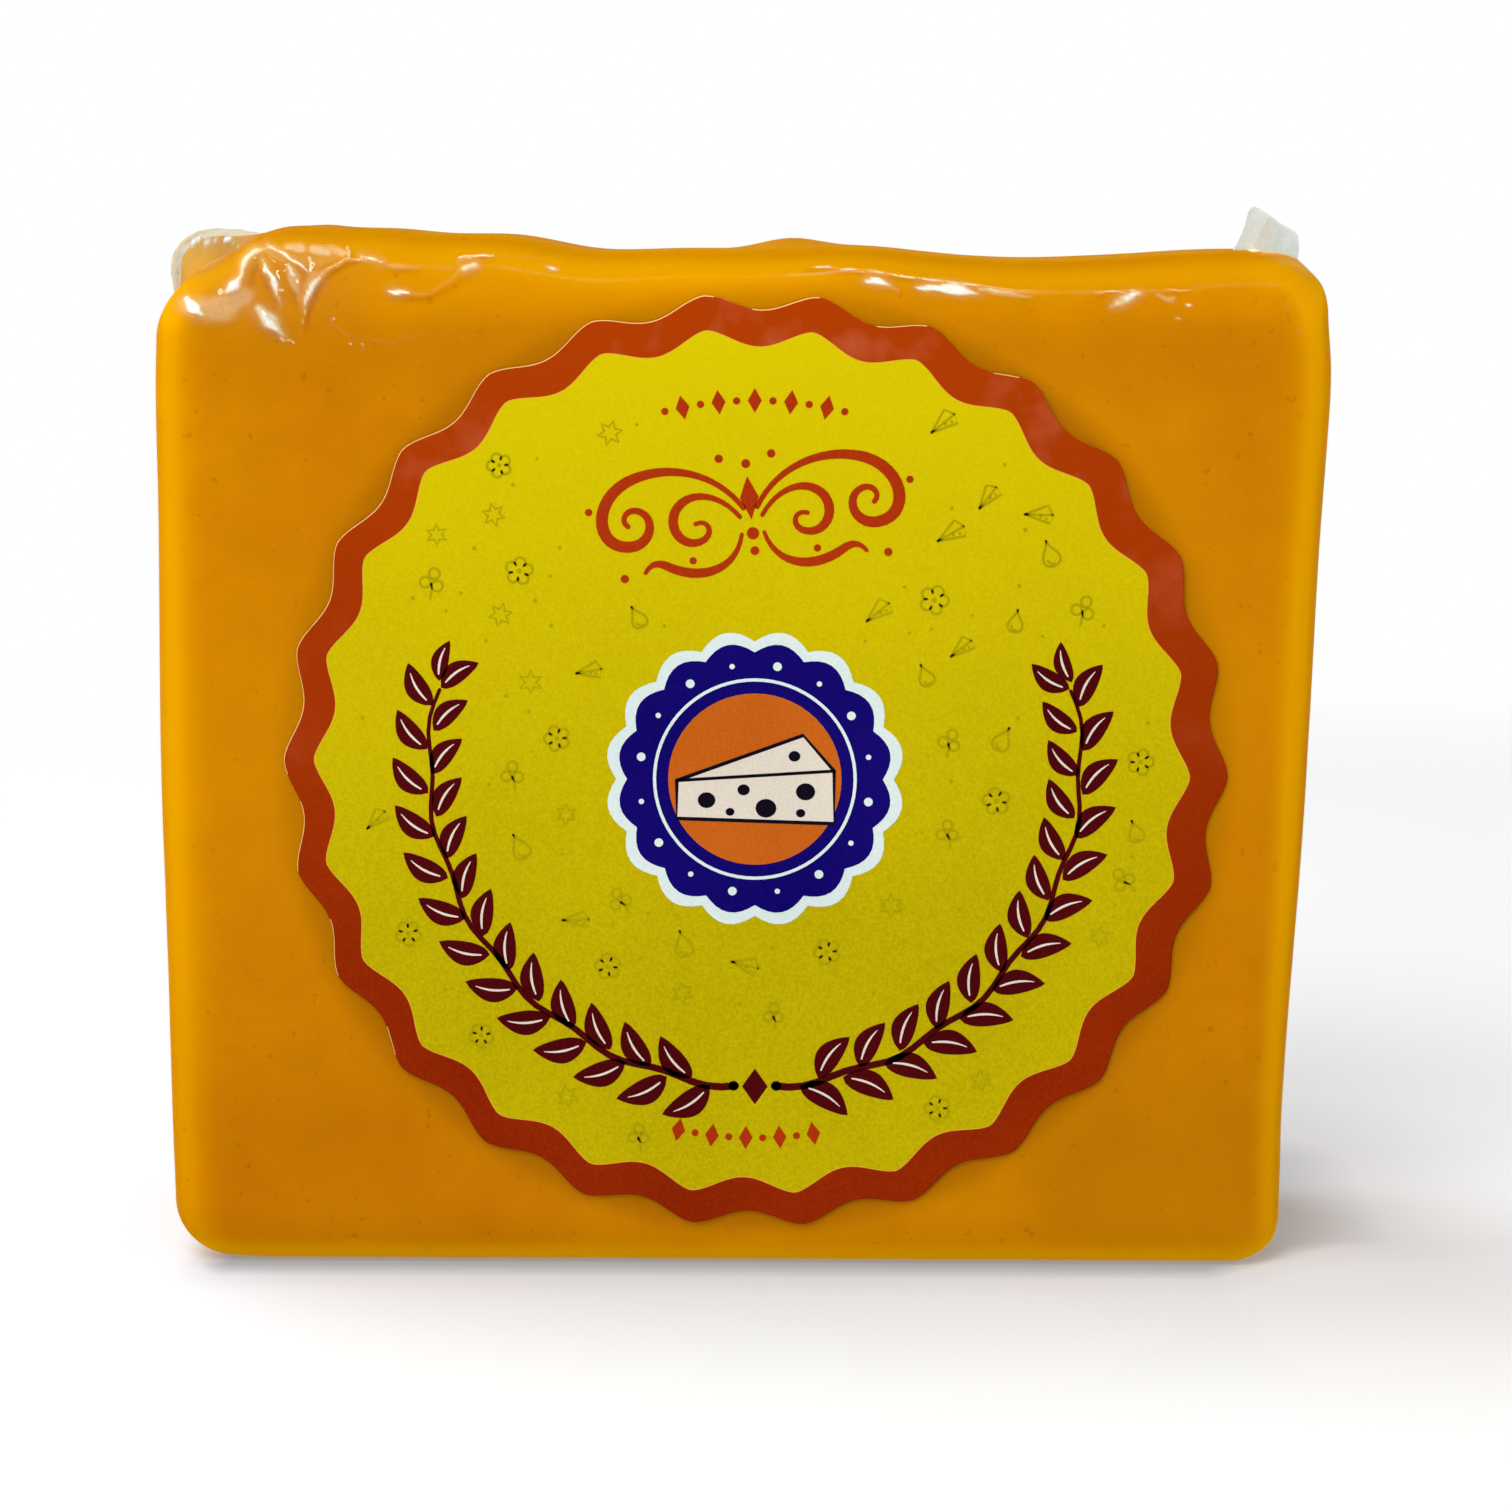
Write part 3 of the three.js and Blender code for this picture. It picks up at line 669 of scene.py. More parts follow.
# painted highlights, as pale milk, where the gathered film catches the light
GLEAMS = [  # line, half widths, softness, strength: where the gathered film catches the light
    (line((186, 306), (202, 309), (222, 308), (244, 296)), (0.7, 1.05, 1.15, 0.8), 1.3, 0.42),
    (line((246, 300), (256, 316), (268, 330)), (0.4, 0.6, 0.4), 1.2, 0.20),
    (line((288, 262), (312, 262), (340, 256)), (0.6, 0.7, 0.3), 1.0, 0.20),
    (line((298, 290), (308, 300)), (0.4, 0.4), 1.0, 0.22),
    (line((188, 299), (193, 307), (202, 315)), (0.26, 0.46, 0.20), 0.45, 0.92),
    (line((228, 292), (236, 287), (243, 278)), (0.30, 0.42, 0.16), 0.5, 0.80),
    (line((243, 278), (247, 264), (256, 253), (266, 249)), (0.16, 0.26, 0.24, 0.08), 0.35, 0.66),
    (line((262, 258), (268, 272), (274, 283), (280, 303)), (0.03, 0.18, 0.26, 0.06), 0.26, 0.74),
    (line((268, 246), (284, 256), (297, 264), (310, 274)), (0.07, 0.10, 0.11, 0.04), 0.22, 0.92),
    (line((266, 251), (281, 260), (290, 266)), (0.16, 0.16, 0.06), 0.4, 0.30),
    (line((289, 268), (294, 278), (299, 300)), (0.30, 0.50, 0.10), 0.5, 0.42),
    (line((290, 270), (294, 276)), (0.16, 0.18), 0.3, 0.80),
    (line((259, 309), (269, 320), (282, 335)), (0.34, 0.66, 0.26), 0.6, 0.62),
    (line((264, 316), (272, 325), (279, 332)), (0.16, 0.34, 0.16), 0.45, 0.96),
    (line((305, 306), (310, 293), (318, 281), (324, 274)), (0.06, 0.30, 0.22, 0.05), 0.3, 0.80),
    (line((304, 300), (310, 284), (316, 274)), (0.35, 0.55, 0.25), 0.6, 0.32),
    (line((302, 332), (304, 320), (307, 309)), (0.02, 0.05, 0.08), 0.2, 0.62),
    (line((318, 280), (330, 270), (345, 262), (362, 258)), (0.08, 0.07, 0.06, 0.07), 0.2, 0.74),
    (line((362, 257), (372, 259), (382, 263)), (0.05, 0.12, 0.05), 0.25, 0.80),
    (line((386, 267), (400, 267), (417, 267)), (0.14, 0.22, 0.10), 0.5, 0.36),
    (line((287, 248), (302, 249)), (0.30, 0.35), 0.5, 0.50),
    (line((312, 250), (328, 252)), (0.30, 0.40), 0.5, 0.52),
    (line((332, 249), (344, 255)), (0.30, 0.35), 0.5, 0.44),
    (line((348, 247), (350, 262)), (0.10, 0.08), 0.2, 0.60),
    (line((388, 291), (398, 293), (407, 293)), (0.10, 0.20, 0.12), 0.25, 0.92),
    (line((407, 294), (428, 293), (446, 284), (464, 270)), (0.16, 0.12, 0.14, 0.20), 0.4, 0.22),
    (line((464, 269), (475, 266)), (0.24, 0.26), 0.35, 0.62),
    (line((459, 258), (474, 257), (494, 256)), (0.05, 0.10, 0.07), 0.18, 0.92),
    (line((455, 261), (472, 260)), (0.04, 0.05), 0.2, 0.70),
    (line((495, 257), (532, 257), (548, 263)), (0.02, 0.02, 0.02), 0.18, 0.22),
    (line((549, 265), (554, 270)), (0.10, 0.14), 0.2, 0.85),
    (line((280, 338), (286, 341), (290, 340), (294, 343)), (0.07, 0.07, 0.05, 0.07), 0.18, 0.80),
    (line((349, 343), (351, 344)), (0.06, 0.06), 0.15, 0.85),
    (line((361, 345), (362, 347)), (0.05, 0.05), 0.15, 0.8),
    (line((330, 321), (334, 319)), (0.05, 0.05), 0.15, 0.8),
    (line((332, 323), (350, 336), (376, 341), (402, 340), (426, 331)), (0.03, 0.06, 0.07, 0.06, 0.03), 0.3, 0.20),
    # under the top's front edge, right of the middle
    (line((812, 267), (824, 267), (834, 268)), (0.05, 0.06, 0.04), 0.16, 0.86),
    (line((842, 269), (850, 269), (860, 270)), (0.05, 0.06, 0.04), 0.16, 0.90),
    (line((868, 271), (878, 272), (888, 274)), (0.04, 0.06, 0.04), 0.16, 0.90),
    (line((893, 275), (904, 276), (914, 278)), (0.05, 0.06, 0.04), 0.16, 0.92),
    (line((921, 279), (930, 280), (938, 281)), (0.04, 0.06, 0.05), 0.16, 0.92),
    (line((946, 282), (960, 284), (976, 286)), (0.05, 0.08, 0.05), 0.18, 0.92),
    (line((984, 288), (996, 290), (1008, 291), (1024, 295)), (0.05, 0.07, 0.04, 0.03), 0.18, 0.80),
    (line((1014, 295), (1034, 297)), (0.04, 0.03), 0.2, 0.5),
    (line((866, 280), (878, 281), (888, 284)), (0.12, 0.34, 0.12), 0.35, 0.95),
    (line((884, 285), (898, 290)), (0.20, 0.10), 0.4, 0.42),
    (line((918, 287), (934, 288), (956, 289), (978, 293)), (0.12, 0.30, 0.42, 0.12), 0.35, 0.97),
    (line((978, 289), (1000, 292), (1028, 296)), (0.22, 0.24, 0.10), 0.45, 0.50),
    (line((1096, 292), (1110, 292), (1126, 292), (1140, 291)), (0.04, 0.06, 0.05, 0.06), 0.16, 0.80),
    (line((1152, 291), (1172, 291), (1190, 291)), (0.03, 0.05, 0.03), 0.16, 0.66),
    (line((1112, 306), (1124, 300), (1140, 293)), (0.12, 0.40, 0.20), 0.4, 0.66),
    (line((1124, 300), (1134, 295)), (0.14, 0.18), 0.3, 0.92),
    (line((1155, 295), (1172, 301)), (0.14, 0.18), 0.4, 0.50),
    (line((1187, 305), (1191, 307)), (0.11, 0.12), 0.15, 1.0),
    (line((1178, 318), (1180, 319)), (0.10, 0.10), 0.15, 0.9),
    (line((1175, 298), (1177, 300)), (0.09, 0.09), 0.15, 0.9),
    (line((1301, 332), (1302, 333)), (0.09, 0.09), 0.15, 0.7),
]

# painted shade on the dark side of folds, plus a few real dark specks
CREASES = [  # the dark side of folds: line, half widths, softness, strength
    (line((306, 331), (308, 316), (313, 300), (321, 285), (331, 275), (348, 266), (368, 261)), (0.05, 0.10, 0.16, 0.16, 0.12, 0.08, 0.04), 0.35, 0.55),
    (line((251, 288), (254, 270), (261, 258)), (0.10, 0.22, 0.10), 0.6, 0.45),
    (line((257, 262), (263, 276), (270, 290), (277, 306)), (0.05, 0.16, 0.16, 0.05), 0.35, 0.60),
    (line((283, 264), (288, 276), (294, 296), (297, 306)), (0.08, 0.20, 0.14, 0.05), 0.5, 0.40),
    (line((300, 268), (312, 279)), (0.10, 0.10), 0.4, 0.35),
    (line((386, 297), (404, 299), (424, 299), (450, 289), (472, 274)), (0.05, 0.12, 0.16, 0.12, 0.05), 0.45, 0.40),
    (line((375, 262), (396, 271), (420, 271)), (0.08, 0.12, 0.08), 0.4, 0.30),
    (line((806, 271), (838, 272), (876, 276), (912, 281), (950, 286), (988, 291), (1026, 297)), (0.10,) * 7, 0.4, 0.30),
    (line((185, 303), (192, 313), (203, 321)), (0.06, 0.10, 0.06), 0.4, 0.30),
    # single dark specks under the film
    (line((215, 312), (217, 313)), (0.10, 0.10), 0.2, 1.0),
    (line((270, 280), (272, 283)), (0.05, 0.05), 0.2, 1.0),
    (line((944, 286), (948, 287)), (0.05, 0.05), 0.15, 1.0),
    (line((972, 286), (982, 288)), (0.04, 0.04), 0.15, 0.9),
]

# painted highlights along the crinkles of the film at the back left corner: line, half widths, softness, strength
LOBE_GLEAMS = [
    (line((190, 246), (195, 240), (201, 239), (206, 244), (213, 238), (220, 244), (228, 239), (239, 247)), (0.05, 0.10, 0.05, 0.07, 0.10, 0.06, 0.11, 0.05), 0.22, 0.90),
    (line((216, 233), (219, 242)), (0.03, 0.06), 0.2, 0.75),
    (line((228, 234), (225, 244)), (0.05, 0.03), 0.2, 0.70),
    (line((206, 246), (210, 254)), (0.05, 0.03), 0.25, 0.55),
    (line((179, 272), (180, 257), (187, 244), (199, 236), (216, 232), (236, 233)), (0.22, 0.26, 0.20, 0.16, 0.14, 0.12), 0.7, 0.62),
]

# painted highlights and milky film at the ear's root and the top right corner: line, half widths, softness, strength
EAR_GLEAMS = [
    (line((1190, 246), (1215, 244), (1238, 245)), (0.03, 0.10, 0.12), 0.3, 0.42),
    (line((1246, 248), (1256, 251)), (0.10, 0.14), 0.25, 0.80),
    (line((1262, 252), (1280, 252), (1296, 256)), (0.22, 0.30, 0.30), 0.7, 0.36),
    (line((1278, 258), (1296, 264), (1310, 276)), (0.20, 0.35, 0.15), 1.0, 0.22),
    (line((1296, 256), (1312, 268), (1322, 280), (1330, 300), (1333, 330)), (0.04, 0.05, 0.05, 0.05, 0.03), 0.3, 0.14),
]

film_lines = [
    edge_lines(0, joined(stretch(-inner[0], -18, 0.19), stretch(-18, 3, 0.8), stretch(3, 40, 0.40), stretch(40, inner[0], 0.45)), 18, 10),
    edge_lines(1, stretch(-inner[1], inner[1], 0.62), 16, 9),
    edge_lines(2, joined(stretch(-inner[2], 30, 2.4), stretch(30, 33, 0.6), stretch(33, inner[2], 0.17)), 9, 26),
]
p, q = box_grid(film_lines)
v, out = block(p)
n = normals(v, q)
x, y, z = v.T
sideways, upward = in_view(v)
gap, haze_and_painted_highlight, cool, crease_shade_and_specks = (np.zeros(len(v)) for _ in range(4))
in_front = smooth((-y - 6) / 4)
crinkle, ripple = Waves(21, 2.6, 22), Waves(23, 1.1, 22)
# the part where the film is gathered; its lines are drawn with a slightly unsteady hand
near = np.nonzero((in_front > 0) & (z > 62))[0]
nx, nz = sideways[near], upward[near]
sway = Waves(51, 1.5), Waves(53, 1.5), Waves(57, 0.8)
flat = np.stack([nx, nz * 0, nz], 1)
bent_x = nx + 0.07 * sway[0](flat) + 0.03 * sway[2](flat)
bent_z = nz + 0.07 * sway[1](flat) - 0.03 * sway[2](flat)
for pts, rise, right, left in FOLDS:
    gap[near] += in_front[near] * fold(nx, nz, pts, rise, right, left)
# between the folds the film is puckered
pucker = in_front * smooth(1.3 - np.hypot((x + 36.5) / 8.5, (z - 80.5) / 4.5))
gap += pucker * (0.05 + 0.045 * crinkle(v) + 0.02 * ripple(v))
uneven = 0.92 + 0.10 * ripple(v[near])
for pts, widths, softness, strength in GLEAMS:
    here = strength * painted(bent_x, bent_z, pts, widths, softness)
    # painted highlight halo: a paler ring of milk round the brightest painted highlights
    if strength > 0.6 and softness > 0.2:  # a paler breath round the bright ones
        here = np.maximum(here * uneven * 1.14, 0.30 * painted(bent_x, bent_z, pts, np.asarray(widths) + 0.30, 0.9))
    haze_and_painted_highlight[near] = np.maximum(haze_and_painted_highlight[near], in_front[near] * here)
for pts, widths, softness, strength in CREASES:
    crease_shade_and_specks[near] = np.maximum(crease_shade_and_specks[near], in_front[near] * strength * painted(nx, nz, pts, widths, softness))
crease_shade_and_specks *= 1 - smooth(haze_and_painted_highlight / 0.5) * (1 - smooth((crease_shade_and_specks - 0.7) / 0.2))
# it stands off round the back left corner, a little at the right corner, and in places along the top
back_corner = smooth((y - 1) / 4) * smooth((-x - 40.0) / 3) * smooth((z - 76) / 4)
gap += back_corner * (0.02 + 0.06 * np.abs(crinkle(v)) + 0.03 * ripple(v))
haze_and_painted_highlight += 0.30 * back_corner
cool += back_corner
lobe = np.nonzero(back_corner > 0.05)[0]
for pts, widths, softness, strength in LOBE_GLEAMS:
    haze_and_painted_highlight[lobe] = np.maximum(haze_and_painted_highlight[lobe], back_corner[lobe] * strength * painted(sideways[lobe], upward[lobe], pts, widths, softness))
right_corner = bell(x, 46.4, 2.2) * bell(z, 81.0, 3.0)
gap += right_corner * 0.02
haze_and_painted_highlight += 0.02 * right_corner
top = smooth((z - 80) / 2)
gap += top * smooth((y + 6) / 6) * 0.04 * bell(x, 36.5, 5.0)
ear_root = np.nonzero((x > 30) & (z > 78))[0]
for pts, widths, softness, strength in EAR_GLEAMS:
    haze_and_painted_highlight[ear_root] = np.maximum(haze_and_painted_highlight[ear_root], strength * painted(sideways[ear_root], upward[ear_root], pts, widths, softness))
sides = smooth((np.abs(x) - 43) / 3)
gap += sides * 0.015 * (1 + crinkle(v * [1, 1, 0.5])) * smooth(z / 6)
haze_and_painted_highlight += 0.05 * pucker
sheen = 1.0 + 1.2 * pucker
# the drawn-tight rounding of the top's front edge shines only in places, the top and the foot hardly
rim = in_front * smooth((z - 77) / 2)
sheen *= 1 - 0.92 * rim * (1 - pucker) * (1 - 0.9 * bell(x, 15, 9))
sheen *= 1 - 0.85 * smooth((np.abs(x) - 42.5) / 1.5) * in_front
sheen *= 1 - np.clip(0.95 * (bell(x, 25.4, 3.6) * bell(z, 78.5, 2.6) + bell(x, -1.0, 7.0) * bell(z, 80, 5)) * in_front, 0, 1)
sheen *= 1 - 0.94 * smooth((n[:, 2] - 0.35) / 0.3) * smooth((x + 42) / 1.5)
sheen *= 1 - 0.50 * smooth((n[:, 2] - 0.45) / 0.3)
sheen *= 1 - 0.90 * smooth((-n[:, 2] - 0.1) / 0.3)
v = v + n * gap[:, None]
v[:, 2] = np.maximum(v[:, 2], 0.0)
film = new_mesh("film", v, q, FILM)
attribute(film, "haze_and_painted_highlight", np.clip(haze_and_painted_highlight, 0, 0.97))
attribute(film, "sheen", sheen)
attribute(film, "cool", np.clip(cool, 0, 1))
attribute(film, "crease_shade_and_specks", np.clip(crease_shade_and_specks, 0, 1))
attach(film, "root")
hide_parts("wrapped_block")
print("film faces", len(q))

# ---------------------------------------------------------------- the gathered end of the film at the top right
def along(pts, s):
    """A point at fraction s of a polyline's length."""
    pts = np.asarray(pts, float)
    run = np.concatenate([[0], np.cumsum(np.hypot(*(pts[1:] - pts[:-1]).T))])
    return np.array([np.interp(s * run[-1], run, pts[:, 0]), np.interp(s * run[-1], run, pts[:, 1])])


def ear():
    """The flattened end of the wrap: two pleated layers, pinched at the foot and fanned out above it."""
    foot = [(40.5, 82.5), (43.6, 82.4), (46.0, 81.6)]
    tip = [(42.08, 86.2), (42.16, 86.5), (42.45, 86.6), (42.95, 86.42), (43.8, 85.82), (44.75, 85.17), (45.9, 84.55), (46.12, 84.2)]
    wave = Waves(41, 3.0, 18)
    S, T = 64, 32
    pts, faces, haze_and_painted_highlight = [], [], []
    for layer, (y0, phase, short) in enumerate(((0.95, 0.0, 1.0), (1.55, 1.1, 0.96))):
        n0 = len(pts)
        for thick in (-0.025, 0.025):
            for i in range(S + 1):
                s = i / S
                lo, hi = along(foot, s), along(tip, s)
                for j in range(T + 1):
                    t = j / T
                    p = lo + (hi - lo) * t * short
                    p[0] += 0.22 * math.sin(math.pi * t) * (1 - s) ** 3 + 0.16 * math.sin(math.pi * t) * s**4
                    # one broad fold from the tip down to the left, a second near the right edge
                    ridge = 0.55 * bell(s - 0.22 - 0.16 * t, 0.0, 0.13) - 0.30 * bell(s - 0.82 + 0.12 * t, 0.0, 0.10)
                    y = y0 - 0.5 * t * ridge + 0.10 * t * wave(np.array([[p[0], phase, p[1]]]))[0] + 0.35 * t * (s - 0.5) + thick
                    pts.append((p[0], y, p[1]))
                    seam = bell(s - 0.22 - 0.16 * t, 0.0, 0.030) + 0.6 * bell(s - 0.82 + 0.12 * t, 0.0, 0.025) + 0.7 * bell(s, 1.0, 0.05) + 0.5 * bell(t, 1.0, 0.05)
                    soft_part = 0.5 + 0.5 * math.sin(2 * math.pi * (0.9 * s - 0.25 * t) + phase)
                    # painted highlight: paler milk low on the fin, near its foot
                    painted_foot_highlight = bell(t, 0.10, 0.07) * (bell(s, 0.38, 0.10) + bell(s, 0.86, 0.07))
                    haze_and_painted_highlight.append(min(0.96, 0.66 + 0.10 * soft_part + 0.07 * seam + 0.30 * painted_foot_highlight))
        N = (S + 1) * (T + 1)
        at = lambda sheet, i, j: n0 + sheet * N + i * (T + 1) + j
        for i in range(S):
            for j in range(T):
                faces.append((at(0, i, j), at(0, i + 1, j), at(0, i + 1, j + 1), at(0, i, j + 1)))
                faces.append((at(1, i, j + 1), at(1, i + 1, j + 1), at(1, i + 1, j), at(1, i, j)))
        for i in range(S):
            faces.append((at(0, i, T), at(0, i + 1, T), at(1, i + 1, T), at(1, i, T)))
            faces.append((at(1, i, 0), at(1, i + 1, 0), at(0, i + 1, 0), at(0, i, 0)))
        for j in range(T):
            faces.append((at(1, 0, j), at(0, 0, j), at(0, 0, j + 1), at(1, 0, j + 1)))
            faces.append((at(0, S, j), at(1, S, j), at(1, S, j + 1), at(0, S, j + 1)))
    ob = new_mesh("film_ear", np.array(pts), faces, FILM_LOOSE)
    attribute(ob, "haze_and_painted_highlight", haze_and_painted_highlight)
    attribute(ob, "sheen", np.full(len(pts), 0.6))
    attribute(ob, "cool", np.zeros(len(pts)))
    attribute(ob, "crease_shade_and_specks", np.zeros(len(pts)))
    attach(ob, "root")
    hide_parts("wrapped_block")


ear()

# ---------------------------------------------------------------- the label
def scalloped(angle, tips, depth, power, turn):
    f = ((angle - math.radians(turn)) * SCALLOPS / (2 * np.pi)) % 1
    return tips - depth * np.abs(np.sin(np.pi * f)) ** power


COLUMNS = SCALLOPS * 24
angles = math.radians(TURN) + np.arange(COLUMNS) * 2 * np.pi / COLUMNS
cut = np.stack([np.cos(angles), np.sin(angles)], 1) * scalloped(angles, TIP_R, SCALLOP_DEPTH, 1.65, TURN)[:, None]
# the print sits a little to the left of the cut
printed = np.stack([np.cos(angles), np.sin(angles)], 1) * scalloped(angles, 35.38, 1.465, 1.5, TURN - 0.25)[:, None] + [-0.29, -0.03]
edge_wave, lift_wave = Waves(31, 11), Waves(33, 5)


def label_lift(x, z):
    """How far the label's face stands off its flat, mostly at its rim."""
    dx, dz = x - LABEL_X, z - LABEL_Z
    r = np.hypot(dx, dz)
    a = np.degrees(np.arctan2(dz, dx))
    rim = smooth((r - 34.0) / 4.5)
    flat = np.stack([x, z * 0, z], -1)
    wavy = lift_wave(flat) * 0.03 + edge_wave(flat) * 0.03
    loose = 0.22 * bell(a, 22.5, 4.0) + 0.12 * bell(a, 52, 9) + 0.10 * bell(a, 150, 16)
    return rim * (np.maximum(wavy, -0.02) + loose)


def label():
    """A paper sheet: face rings from the cut edge inwards, a narrow chamfer at the cut (with a painted highlight on the
    upper left), then the side and the back.
    """
    unit = np.stack([np.cos(angles), np.sin(angles)], 1)
    rings = [(cut, -0.09), (cut - unit * 0.075, 0.0)]
    rings += [(cut + (printed - cut) * f, 0.0) for f in (0.2, 0.4, 0.6, 0.8, 1.0)]
    rings += [(printed - unit * d, 0.0) for d in (0.075, 0.8, 2.0, 4.0)]
    rings += [(unit * r, 0.0) for r in (27.0, 20.0, 12.0, 5.0)]
    mats = [3] + [1] * 5 + [2] + [0] * 7
    pts, faces, kinds = [], [], []

    def put(ring, depth):
        x, z = ring[:, 0] + LABEL_X, ring[:, 1] + LABEL_Z
        pts.append(np.stack([x, depth - label_lift(x, z), z], 1))

    for ring, down in rings:
        put(ring, LABEL_FACE - down)
    first_back = len(rings)
    for ring in (cut, cut - unit * 2.0, unit * 20.0):
        put(ring, LABEL_BACK)
    idx = lambda ring, i: ring * COLUMNS + i % COLUMNS

    def band(a, b, mat):
        for i in range(COLUMNS):
            faces.append((idx(a, i + 1), idx(b, i + 1), idx(b, i), idx(a, i)))
            kinds.append(mat)

    for k, mat in enumerate(mats):
        band(k, k + 1, mat)
    # painted highlight: the pale paper colour goes on the cut's chamfer only on the upper left, where it catches the
    # light; elsewhere the chamfer takes the border ink
    tangent = np.roll(cut, -1, 0) - cut
    turn = np.degrees(np.arctan2(-tangent[:, 0], tangent[:, 1])) % 360
    painted_edge_highlight = (turn > 78) & (turn < 200)
    for i in range(COLUMNS):
        if not painted_edge_highlight[i]:
            kinds[i] = 1
    band(first_back, 0, 3)
    band(first_back + 1, first_back, 3)
    band(first_back + 2, first_back + 1, 3)
    c1 = (first_back + 3) * COLUMNS
    pts.append(np.array([[LABEL_X, LABEL_FACE, LABEL_Z], [LABEL_X, LABEL_BACK, LABEL_Z]]))
    for i in range(COLUMNS):
        faces.append((idx(first_back - 1, i), idx(first_back - 1, i + 1), c1))
        kinds.append(0)
        faces.append((idx(first_back + 2, i + 1), idx(first_back + 2, i), c1 + 1))
        kinds.append(3)
    ob = new_mesh("label_sheet", np.concatenate(pts), faces, [YELLOW, BORDER, PALE, PAPER], indices=kinds)
    ob.data.set_sharp_from_angle(angle=math.radians(35))
    return ob


sheet = label()
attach(sheet, "root")
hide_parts("label")

# ---------------------------------------------------------------- the print, as flat shapes just above the label
class Ink:
    """Flat shapes of one colour, gathered into one mesh. Shapes are in mm about the label's centre."""

    def __init__(self, name, material, above):
        self.name, self.material, self.above = name, material, above
        self.pts, self.faces = [], []

    def polygon(self, pts):
        pts = [tuple(map(float, p)) for p in pts]
        area2 = sum(a[0] * b[1] - b[0] * a[1] for a, b in zip(pts, pts[1:] + pts[:1]))
        if area2 < 0:
            pts = pts[::-1]
        n = len(self.pts)
        tris = tessellate_polygon([[Vector((x, z, 0)) for x, z in pts]])
        self.pts += pts
        for t in tris:
            a, b, c = (pts[i] for i in t)
            ccw = (b[0] - a[0]) * (c[1] - a[1]) - (b[1] - a[1]) * (c[0] - a[0]) > 0
            t = t if ccw else t[::-1]
            self.faces.append(tuple(n + i for i in t))

    def stroke(self, line, width, closed=False):
        """A line of the given width (a number, or one per point), with round ends."""
        p = np.asarray(line, float)
        w = np.broadcast_to(np.asarray(width, float), (len(p),)) / 2
        if closed:
            t = np.roll(p, -1, 0) - np.roll(p, 1, 0)
        else:
            t = np.gradient(p, axis=0)
        t /= np.maximum(np.linalg.norm(t, axis=1), 1e-9)[:, None]
        nrm = np.stack([-t[:, 1], t[:, 0]], 1)
        left, right = p + nrm * w[:, None], p - nrm * w[:, None]
        n, m = len(self.pts), len(p)
        self.pts += [tuple(q) for q in left] + [tuple(q) for q in right]
        last = m if closed else m - 1
        for i in range(last):
            j = (i + 1) % m
            self.faces.append((n + m + i, n + m + j, n + j, n + i))
        if not closed:
            for k, s in ((0, -1), (m - 1, 1)):
                if w[k] > 0.04:
                    a0 = math.atan2(t[k, 1] * s, t[k, 0] * s)
                    self.polygon([(p[k, 0] + w[k] * math.cos(a0 + a), p[k, 1] + w[k] * math.sin(a0 + a))
                                  for a in np.linspace(-math.pi / 2, math.pi / 2, 7)])

    def disc(self, x, z, r, n=14):
        self.polygon([(x + r * math.cos(a), z + r * math.sin(a)) for a in np.arange(n) * 2 * math.pi / n])

    def make(self):
        p = np.asarray(self.pts)
        x, z = p[:, 0] + LABEL_X, p[:, 1] + LABEL_Z
        y = LABEL_FACE - self.above - label_lift(x, z)
        ob = new_mesh(self.name, np.stack([x, y, z], 1), self.faces, self.material, smooth_shade=False)
        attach(ob, "root")
        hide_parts("label")
        return ob


def bezier(p0, p1, p2, p3, n=14):
    t = np.linspace(0, 1, n)[:, None]
    p0, p1, p2, p3 = (np.asarray(p, float) for p in (p0, p1, p2, p3))
    return (1 - t) ** 3 * p0 + 3 * (1 - t) ** 2 * t * p1 + 3 * (1 - t) * t**2 * p2 + t**3 * p3


def chain(*curves):
    return np.concatenate([curves[0]] + [c[1:] for c in curves[1:]])


def turned(pts, degrees, at=(0, 0), mirror=False):
    p = np.asarray(pts, float).copy()
    if mirror:
        p[:, 0] *= -1
    c, s = math.cos(math.radians(degrees)), math.sin(math.radians(degrees))
    return np.stack([p[:, 0] * c - p[:, 1] * s + at[0], p[:, 0] * s + p[:, 1] * c + at[1]], 1)


def polar(r, degrees):
    return r * math.cos(math.radians(degrees)), r * math.sin(math.radians(degrees))


maroon = Ink("print_maroon", MAROON, 0.020)
cream_line = Ink("print_vein", CREAM, 0.035)
red = Ink("print_red", RED, 0.020)
olive = Ink("print_olive", OLIVE, 0.014)
white = Ink("print_white", WHITE, 0.020)
navy = Ink("print_navy", NAVY, 0.035)
ring = Ink("print_ring", WHITE, 0.050)
orange = Ink("print_orange", ORANGE, 0.050)
cream = Ink("print_cream", CREAM, 0.065)
black = Ink("print_black", INK, 0.080)

# two leafy boughs, one up each side from the bottom


def leaf(at, degrees, length, width, veined):
    t = np.linspace(0, 1, 13)
    half = width / 2 * np.sin(np.pi * t**0.85) ** 0.8
    bend = 0.10 * length * np.sin(np.pi * t)
    upper = np.stack([t * length, bend + half], 1)
    lower = np.stack([t * length, bend - half], 1)[::-1]
    maroon.polygon(turned(np.concatenate([upper, lower[1:-1]]), degrees, at))
    if veined:
        s = np.linspace(0.16, 0.80, 8)
        mid = np.stack([s * length, 0.10 * length * np.sin(np.pi * s)], 1)
        cream_line.stroke(turned(mid, degrees, at), 0.17 * np.sin(np.pi * np.linspace(0.18, 0.95, 8)) + 0.03)


